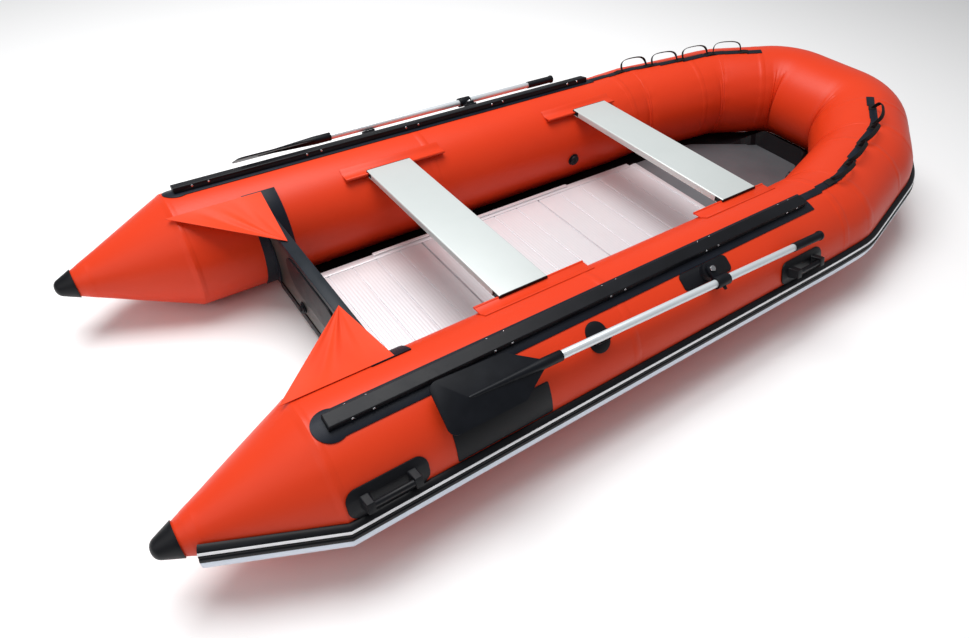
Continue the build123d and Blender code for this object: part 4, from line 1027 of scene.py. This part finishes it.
@dataclass
class SplashFlaps:
    """Cloth gussets from each tube to the top of the transom, with creases from the far corner."""

    thickness: float = 0.0018
    columns: int = 44
    rows: int = 40
    angle: float = 114.0
    clear: float = 0.0035
    aft_station: float = -0.030
    fore_station: float = 0.322
    tip_station: float = 0.2935
    tip_height: float = 0.4085
    sag: float = 0.011
    cut_depth: float = 0.325

    def flap(self, side: Side) -> bpy.types.Object:
        """One flap.

        Args:
            side: which side.

        Returns:
            The cloth, with its thickness.
        """
        low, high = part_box(f"splash_flap_{side.name.lower()}")
        reach = min(abs(low.y), abs(high.y))
        aft = on_tube(side, self.aft_station, self.angle, LINES.radius + self.clear)
        fore = on_tube(side, self.fore_station, self.angle, LINES.radius + self.clear)
        tip = Vector((LINES.x(self.tip_station), side.value * reach, self.tip_height))

        def place(column: int, row: int) -> Vector:
            across = column / self.columns
            down = row / self.rows
            root = aft.lerp(fore, across)
            point = root.lerp(tip, down)
            free = 4 * down * (1 - down)
            fan = math.sin(across * 15.0 + 2.6 * down) * 0.0042 + math.sin(across * 31 + 1.0) * 0.0014
            sag = -self.sag * free * math.sin(math.pi * across)
            hold = math.sin(math.pi * min(1.0, across * 1.15)) * free
            return point + Vector((0, 0, sag + fan * hold))

        piece = draped_grid(f"splash_flap_cloth_{side.name.lower()}", self.columns, self.rows, place)
        thicken(piece, self.thickness)
        smooth(piece, 50)
        return piece

    def build(self) -> None:
        """Make both flaps."""
        for side in Side:
            name = side.name.lower()
            piece = self.flap(side)
            settle(piece, FLAP_CLOTH, "hull", "tube_fabric", f"splash_flap_{name}")


@dataclass
class Transom:
    """Painted board in rubber holders, with its cap, motor pad and lower strip."""

    def build(self) -> None:
        """Refine each of the transom's pieces."""
        refine_rows("hull", (
            ("transom_board", PAINTED_BOARD, "painted_board", 0.0015),
            ("transom_top_cap", SLATE_PLASTIC, "slate_plastic", 0.0012),
            ("motor_pad", RUBBER, "black_rubber", 0.001),
            ("transom_bottom_strip", RUBBER, "black_rubber", 0.001),
            ("transom_holder_port", TAPE_RUBBER, "black_rubber", 0.001),
            ("transom_holder_starboard", TAPE_RUBBER, "black_rubber", 0.001),
            ("drain_socket", BLACK_PLASTIC, "black_plastic", 0.0008),
        ))
        refined("drain_plug", BLACK_PLASTIC, "drain_plug", "black_plastic", 0.0008)


@dataclass
class Floor:
    """Ribbed aluminium boards locked in side stringers, and the bow board."""

    planks: int = 5
    rib_pitch: float = 0.0150
    rib_height: float = 0.00025
    groove: float = 0.0032

    def profile(self, start: float, end: float, low: float, top: float) -> list[tuple[float, float]]:
        """Outline of a board in X and Z, with planks and ribs on its top.

        Args:
            start: X of the aft end.
            end: X of the forward end.
            low: underside height.
            top: height of the ribs' crests.

        Returns:
            The outline's points, all the way round.
        """
        points = [(start, low)]
        pitch = (end - start) / self.planks
        for plank in range(self.planks):
            first = start + plank * pitch
            last = first + pitch
            points += [(first + 0.0012, top - self.groove), (first + 0.0030, top - self.rib_height)]
            ribs = max(2, round((pitch - 0.012) / self.rib_pitch))
            step = (pitch - 0.012) / ribs
            for rib in range(ribs):
                x = first + 0.006 + rib * step
                crest = top if rib % 3 != 1 else top - self.rib_height * 0.2
                points += [
                    (x + step * 0.10, top - self.rib_height), (x + step * 0.22, crest),
                    (x + step * 0.72, crest), (x + step * 0.86, top - self.rib_height),
                ]
            points += [(last - 0.0030, top - self.rib_height), (last - 0.0012, top - self.groove)]
        points.append((end, low))
        return points

    def board(self, node: str) -> bpy.types.Object:
        """One ribbed board.

        Args:
            node: the CAD node that gives its place.

        Returns:
            The board.
        """
        low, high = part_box(node)
        outline = self.profile(low.x, high.x, low.z, high.z)
        count = len(outline)

        def place(column: int, row: int) -> Vector:
            x, z = outline[column % count]
            return Vector((x, low.y + (high.y - low.y) * row / 2, z))

        piece = draped_grid(node + "_ribbed", count, 2, place)
        close_holes(piece)
        smooth(piece, 25)
        return piece

    def build(self) -> None:
        """Make the floor."""
        for node in ("floorboard_aft", "floorboard_middle", "floorboard_forward"):
            settle(self.board(node), FLOOR_METAL, "hull", "silver_aluminium", node)
        refine_rows("hull", (
            ("bow_board", BOW_PANEL, "dark_board", 0.002),
            ("floor_joint_strip", FLOOR_METAL, "silver_aluminium", 0.0006),
            ("stringer_port", FLOOR_METAL, "silver_aluminium", 0.0008),
            ("stringer_starboard", FLOOR_METAL, "silver_aluminium", 0.0008),
            ("stringer_joiners", FLOOR_METAL, "silver_aluminium", 0.0006),
        ))


@dataclass
class Benches:
    """Two sliding benches, their end caps and the cloth rails that hold them."""

    def build(self) -> None:
        """Refine the benches and their rails."""
        for name in ("aft", "forward"):
            refined(f"seat_plank_{name}", BENCH_METAL, f"seat_{name}", "silver_aluminium", 0.0006)
            refined(f"seat_end_caps_{name}", BLACK_PLASTIC, f"seat_{name}", "black_plastic", 0.0008)
        refined("seat_rails", TUBE_CLOTH, "hull", "tube_fabric", 0.0008)


@dataclass
class SideRails:
    """Bolted rubber rails along the top of the tubes, on their tapes."""

    def build(self) -> None:
        """Refine the rails, blocks, bolts and tapes."""
        refine_rows("hull", (
            ("side_rail_port", RUBBER, "black_rubber", 0.0012),
            ("side_rail_starboard", RUBBER, "black_rubber", 0.0012),
            ("side_rail_lugs", BLACK_PLASTIC, "black_rubber", 0.0008),
            ("side_rail_bolts", STEEL, "steel", 0.0004),
            ("base_tapes", TAPE_RUBBER, "black_rubber", 0.0006),
        ))


@dataclass
class GrabLines:
    """Webbing arches sewn to a tape round the shoulder of the bow."""

    first_bar: float = 0.200
    pitch: float = 0.184
    length: float = 0.148
    height: float = 0.051
    width: float = 0.018
    lean: float = 35.0
    thickness: float = 0.0022
    loops: int = 4
    steps: int = 30

    def shoulder(self, length: float, height: float) -> tuple[Vector, Vector, Vector]:
        """Place on the port bow tube at the grab line.

        Args:
            length: distance along the tube from the end of the straight part.
            height: distance off the tube's centre line.

        Returns:
            The point, the way along the tube and the way out of it.
        """
        route = LINES.bow_route(0.02)
        gone = 0.0
        for before, after in zip(route, route[1:]):
            span = (after - before).length
            if gone + span >= length:
                along = (after - before).normalized()
                centre = before.lerp(after, (length - gone) / span)
                break
            gone += span
        out = Vector((0, 0, 1)).cross(along).normalized()
        up = along.cross(out).normalized()
        angle = math.radians(81.5 + 16.5 * (length - 0.003) / 1.027)
        normal = out * math.cos(angle) + up * math.sin(angle)
        return centre + normal * height, along, normal

    def arch(self, side: Side, number: int) -> bpy.types.Object:
        """One loop of webbing with flat sewn feet.

        Args:
            side: which side.
            number: counts from the stern.

        Returns:
            The strap.
        """
        middle = self.first_bar + (number + 0.5) * self.pitch
        base = LINES.radius + 0.0079
        first, _, first_out = self.shoulder(middle - self.length / 2, base)
        last, _, last_out = self.shoulder(middle + self.length / 2, base)
        along = (last - first).normalized()
        out = (first_out + last_out).normalized()
        tilt = math.radians(self.lean)
        flat = along.cross(out).normalized()
        out = out * math.cos(tilt) - flat * math.sin(tilt)
        across = along.cross(out).normalized()
        centre = (first + last) / 2
        half = (last - first).length / 2
        lean = 0.004 * math.sin(number * 2.3 + side.value)

        def place(column: int, row: int) -> Vector:
            share = column / self.steps * 2 - 1
            wide = (row / 4 - 0.5) * self.width
            spread = 0.94 * math.sin(share * math.pi / 2) + 0.06 * share
            rise = self.height * (1 - abs(share) ** 2.6) ** 0.62 - self.thickness
            cup = 0.0012 * (1 - (wide * 2 / self.width) ** 2)
            point = centre + along * half * spread + out * max(rise + cup, 0.0)
            foot = max(abs(share) - 0.86, 0.0) / 0.14
            point += across.lerp(flat, foot).normalized() * wide + across * lean * (1 - share * share)
            return Vector((point.x, point.y * side.value, point.z))

        piece = draped_grid(f"grab_loop_{side.name.lower()}_{number + 1}", self.steps, 4, place)
        run = sum((place(k + 1, 2) - place(k, 2)).length for k in range(self.steps))
        thicken(piece, self.thickness, 0.0005)
        smooth(piece, 40)
        return piece

    def bar(self, side: Side, number: int) -> bpy.types.Object:
        """Stitched crossing patch between two arches.

        Args:
            side: which side.
            number: counts from the stern.

        Returns:
            The patch.
        """
        length = self.first_bar + number * self.pitch
        centre, along, out = self.shoulder(length, LINES.radius + 0.0034)
        across = along.cross(out).normalized()
        radius = LINES.radius

        def place(column: int, row: int) -> Vector:
            step = (column / 6 - 0.5) * 0.050
            wide = (row / 12 - 0.5) * 0.032
            drop = radius - math.sqrt(radius * radius - wide * wide)
            ridge = 0.0030 * math.cos(step / 0.050 * math.pi) ** 2
            point = centre + along * step + across * wide + out * (ridge - drop)
            return Vector((point.x, point.y * side.value, point.z))

        piece = draped_grid(f"grab_bar_{side.name.lower()}_{number + 1}", 6, 12, place)
        thicken(piece, 0.0018, 0.0004)
        smooth(piece, 40)
        return piece

    def build(self) -> None:
        """Make the tapes, arches and crossing patches."""
        refined("grab_tapes", TAPE_RUBBER, "hull", "black_rubber", 0.0006)
        for side in Side:
            node = f"grab_loops_{side.name.lower()}"
            for number in range(self.loops):
                nodes = (node,) if number == 0 else ()
                settle(self.arch(side, number), WEBBING, "hull", "webbing", *nodes)
            for number in range(self.loops + 1):
                settle(self.bar(side, number), WEBBING, "hull", "webbing")


@dataclass
class Fittings:
    """Carrying handles, blank labels, oarlocks, rests, valves and the towing ring."""

    def build(self) -> None:
        """Refine each fitting."""
        refine_rows("hull", (
            ("cone_caps", RUBBER, "black_rubber", 0.001),
            ("carry_handles", RUBBER, "black_rubber", 0.0015),
            ("label_patches", RUBBER, "black_rubber", 0.0003),
            ("oarlock_bases", RUBBER, "black_rubber", 0.0012),
            ("oar_rest_pads", RUBBER, "black_rubber", 0.0012),
            ("oarlock_pins", STEEL, "steel", 0.0006),
            ("valve_bodies", BLACK_PLASTIC, "black_plastic", 0.0006),
        ))
        for where in ("port", "starboard", "bow"):
            refined(f"valve_cap_{where}", BLACK_PLASTIC, f"valve_cap_{where}", "black_plastic", 0.0008)
        refined("tow_patch", TAPE_RUBBER, "hull", "black_rubber", 0.001)
        refined("tow_ring", STEEL, "tow_ring", "steel", 0.0002)
        WARDROBE.dress(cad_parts["chamber_baffles"], HULL_CLOTH)


@dataclass
class Oars:
    """Aluminium shafts with moulded blades, grips and clamp collars."""

    def build(self) -> None:
        """Refine the oars' pieces."""
        for side in Side:
            name = side.name.lower()
            refined(f"oar_shaft_{name}", SHAFT_METAL, f"oar_{name}", "silver_aluminium", 0.0002)
            refined(f"oar_blade_{name}", BLACK_PLASTIC, f"oar_{name}", "black_plastic", 0.0012)
            refined(f"oar_grip_{name}", BLACK_PLASTIC, f"oar_{name}", "black_plastic", 0.0015)
            refined(f"oar_collar_{name}", BLACK_PLASTIC, f"oar_{name}", "black_plastic", 0.001)


@dataclass
class Studio:
    """Pale floor, soft lights and the camera."""

    def floor(self) -> None:
        """Lay a wide pale floor under the boat."""
        bpy.ops.object.select_all(action="DESELECT")
        bpy.ops.mesh.primitive_plane_add(size=60.0, location=(0, 0, CAD_BOX[0].z))
        plane = bpy.context.object
        plane.name = "studio_floor"
        material = bpy.data.materials.new("studio_paper")
        material.use_nodes = True
        shader = material.node_tree.nodes["Principled BSDF"]
        shader.inputs["Base Color"].default_value = (0.97, 0.97, 0.97, 1)
        shader.inputs["Roughness"].default_value = 0.9
        plane.data.materials.append(material)

    def light(self, name: str, place: Vector, aim: Vector, size: float, watts: float) -> None:
        """Add one soft light.

        Args:
            name: the light's name.
            place: where it stands.
            aim: the point it shines at.
            size: its width in metres.
            watts: its power.
        """
        bpy.ops.object.select_all(action="DESELECT")
        bpy.ops.object.light_add(type="AREA", location=place)
        lamp = bpy.context.object
        lamp.name = name
        lamp.data.shape = "SQUARE"
        lamp.data.size = size
        lamp.data.energy = watts
        lamp.rotation_euler = (aim - place).to_track_quat("-Z", "Y").to_euler()

    def camera(self) -> None:
        """Stand the camera above the starboard quarter."""
        yaw, pitch, roll = 0.9077, 0.7519, -0.0621
        forward = Vector((math.cos(pitch) * math.cos(yaw), math.cos(pitch) * math.sin(yaw), -math.sin(pitch)))
        right = forward.cross(Vector((0, 0, 1))).normalized()
        down = forward.cross(right)
        across = right * math.cos(roll) + down * math.sin(roll)
        below = down * math.cos(roll) - right * math.sin(roll)
        data = bpy.data.cameras.new("camera")
        data.sensor_width = 36.0
        data.lens = 24.95
        data.shift_x = -0.0169
        data.shift_y = 0.0084
        data.clip_end = 200.0
        camera = bpy.data.objects.new("camera", data)
        bpy.context.scene.collection.objects.link(camera)
        turn = Matrix((across, -below, -forward)).transposed().to_4x4()
        camera.matrix_world = Matrix.Translation((-1.7689, -1.7841, 1.849)) @ turn
        bpy.context.scene.camera = camera

    def build(self) -> None:
        """Set up the whole studio."""
        scene = bpy.context.scene
        scene.view_settings.view_transform = "Standard"
        world = bpy.data.worlds.new("studio_air")
        scene.world = world
        world.use_nodes = True
        world.node_tree.nodes["Background"].inputs["Color"].default_value = (0.97, 0.98, 1.0, 1)
        world.node_tree.nodes["Background"].inputs["Strength"].default_value = 0.30
        middle = Vector((0.2, 0, 0.2))
        self.light("key_light", Vector((-0.9, 1.2, 5.6)), middle, 4.2, 400.0)
        self.light("rim_light", Vector((-4.2, -0.6, 2.4)), middle, 2.5, 25.0)
        self.floor()
        self.camera()


def main() -> None:
    """Build every part of the dinghy in order."""
    logging.basicConfig(level=logging.INFO, format="%(name)s: %(message)s")
    Studio().build()
    for part in (
        AirTubes(), RubRail(), HullBottom(), SplashFlaps(), Transom(), Floor(), Benches(), SideRails(),
        GrabLines(), Fittings(), Oars(),
    ):
        part.build()
        log.info("finished %s", type(part).__name__)


if __name__ == "__main__":
    main()
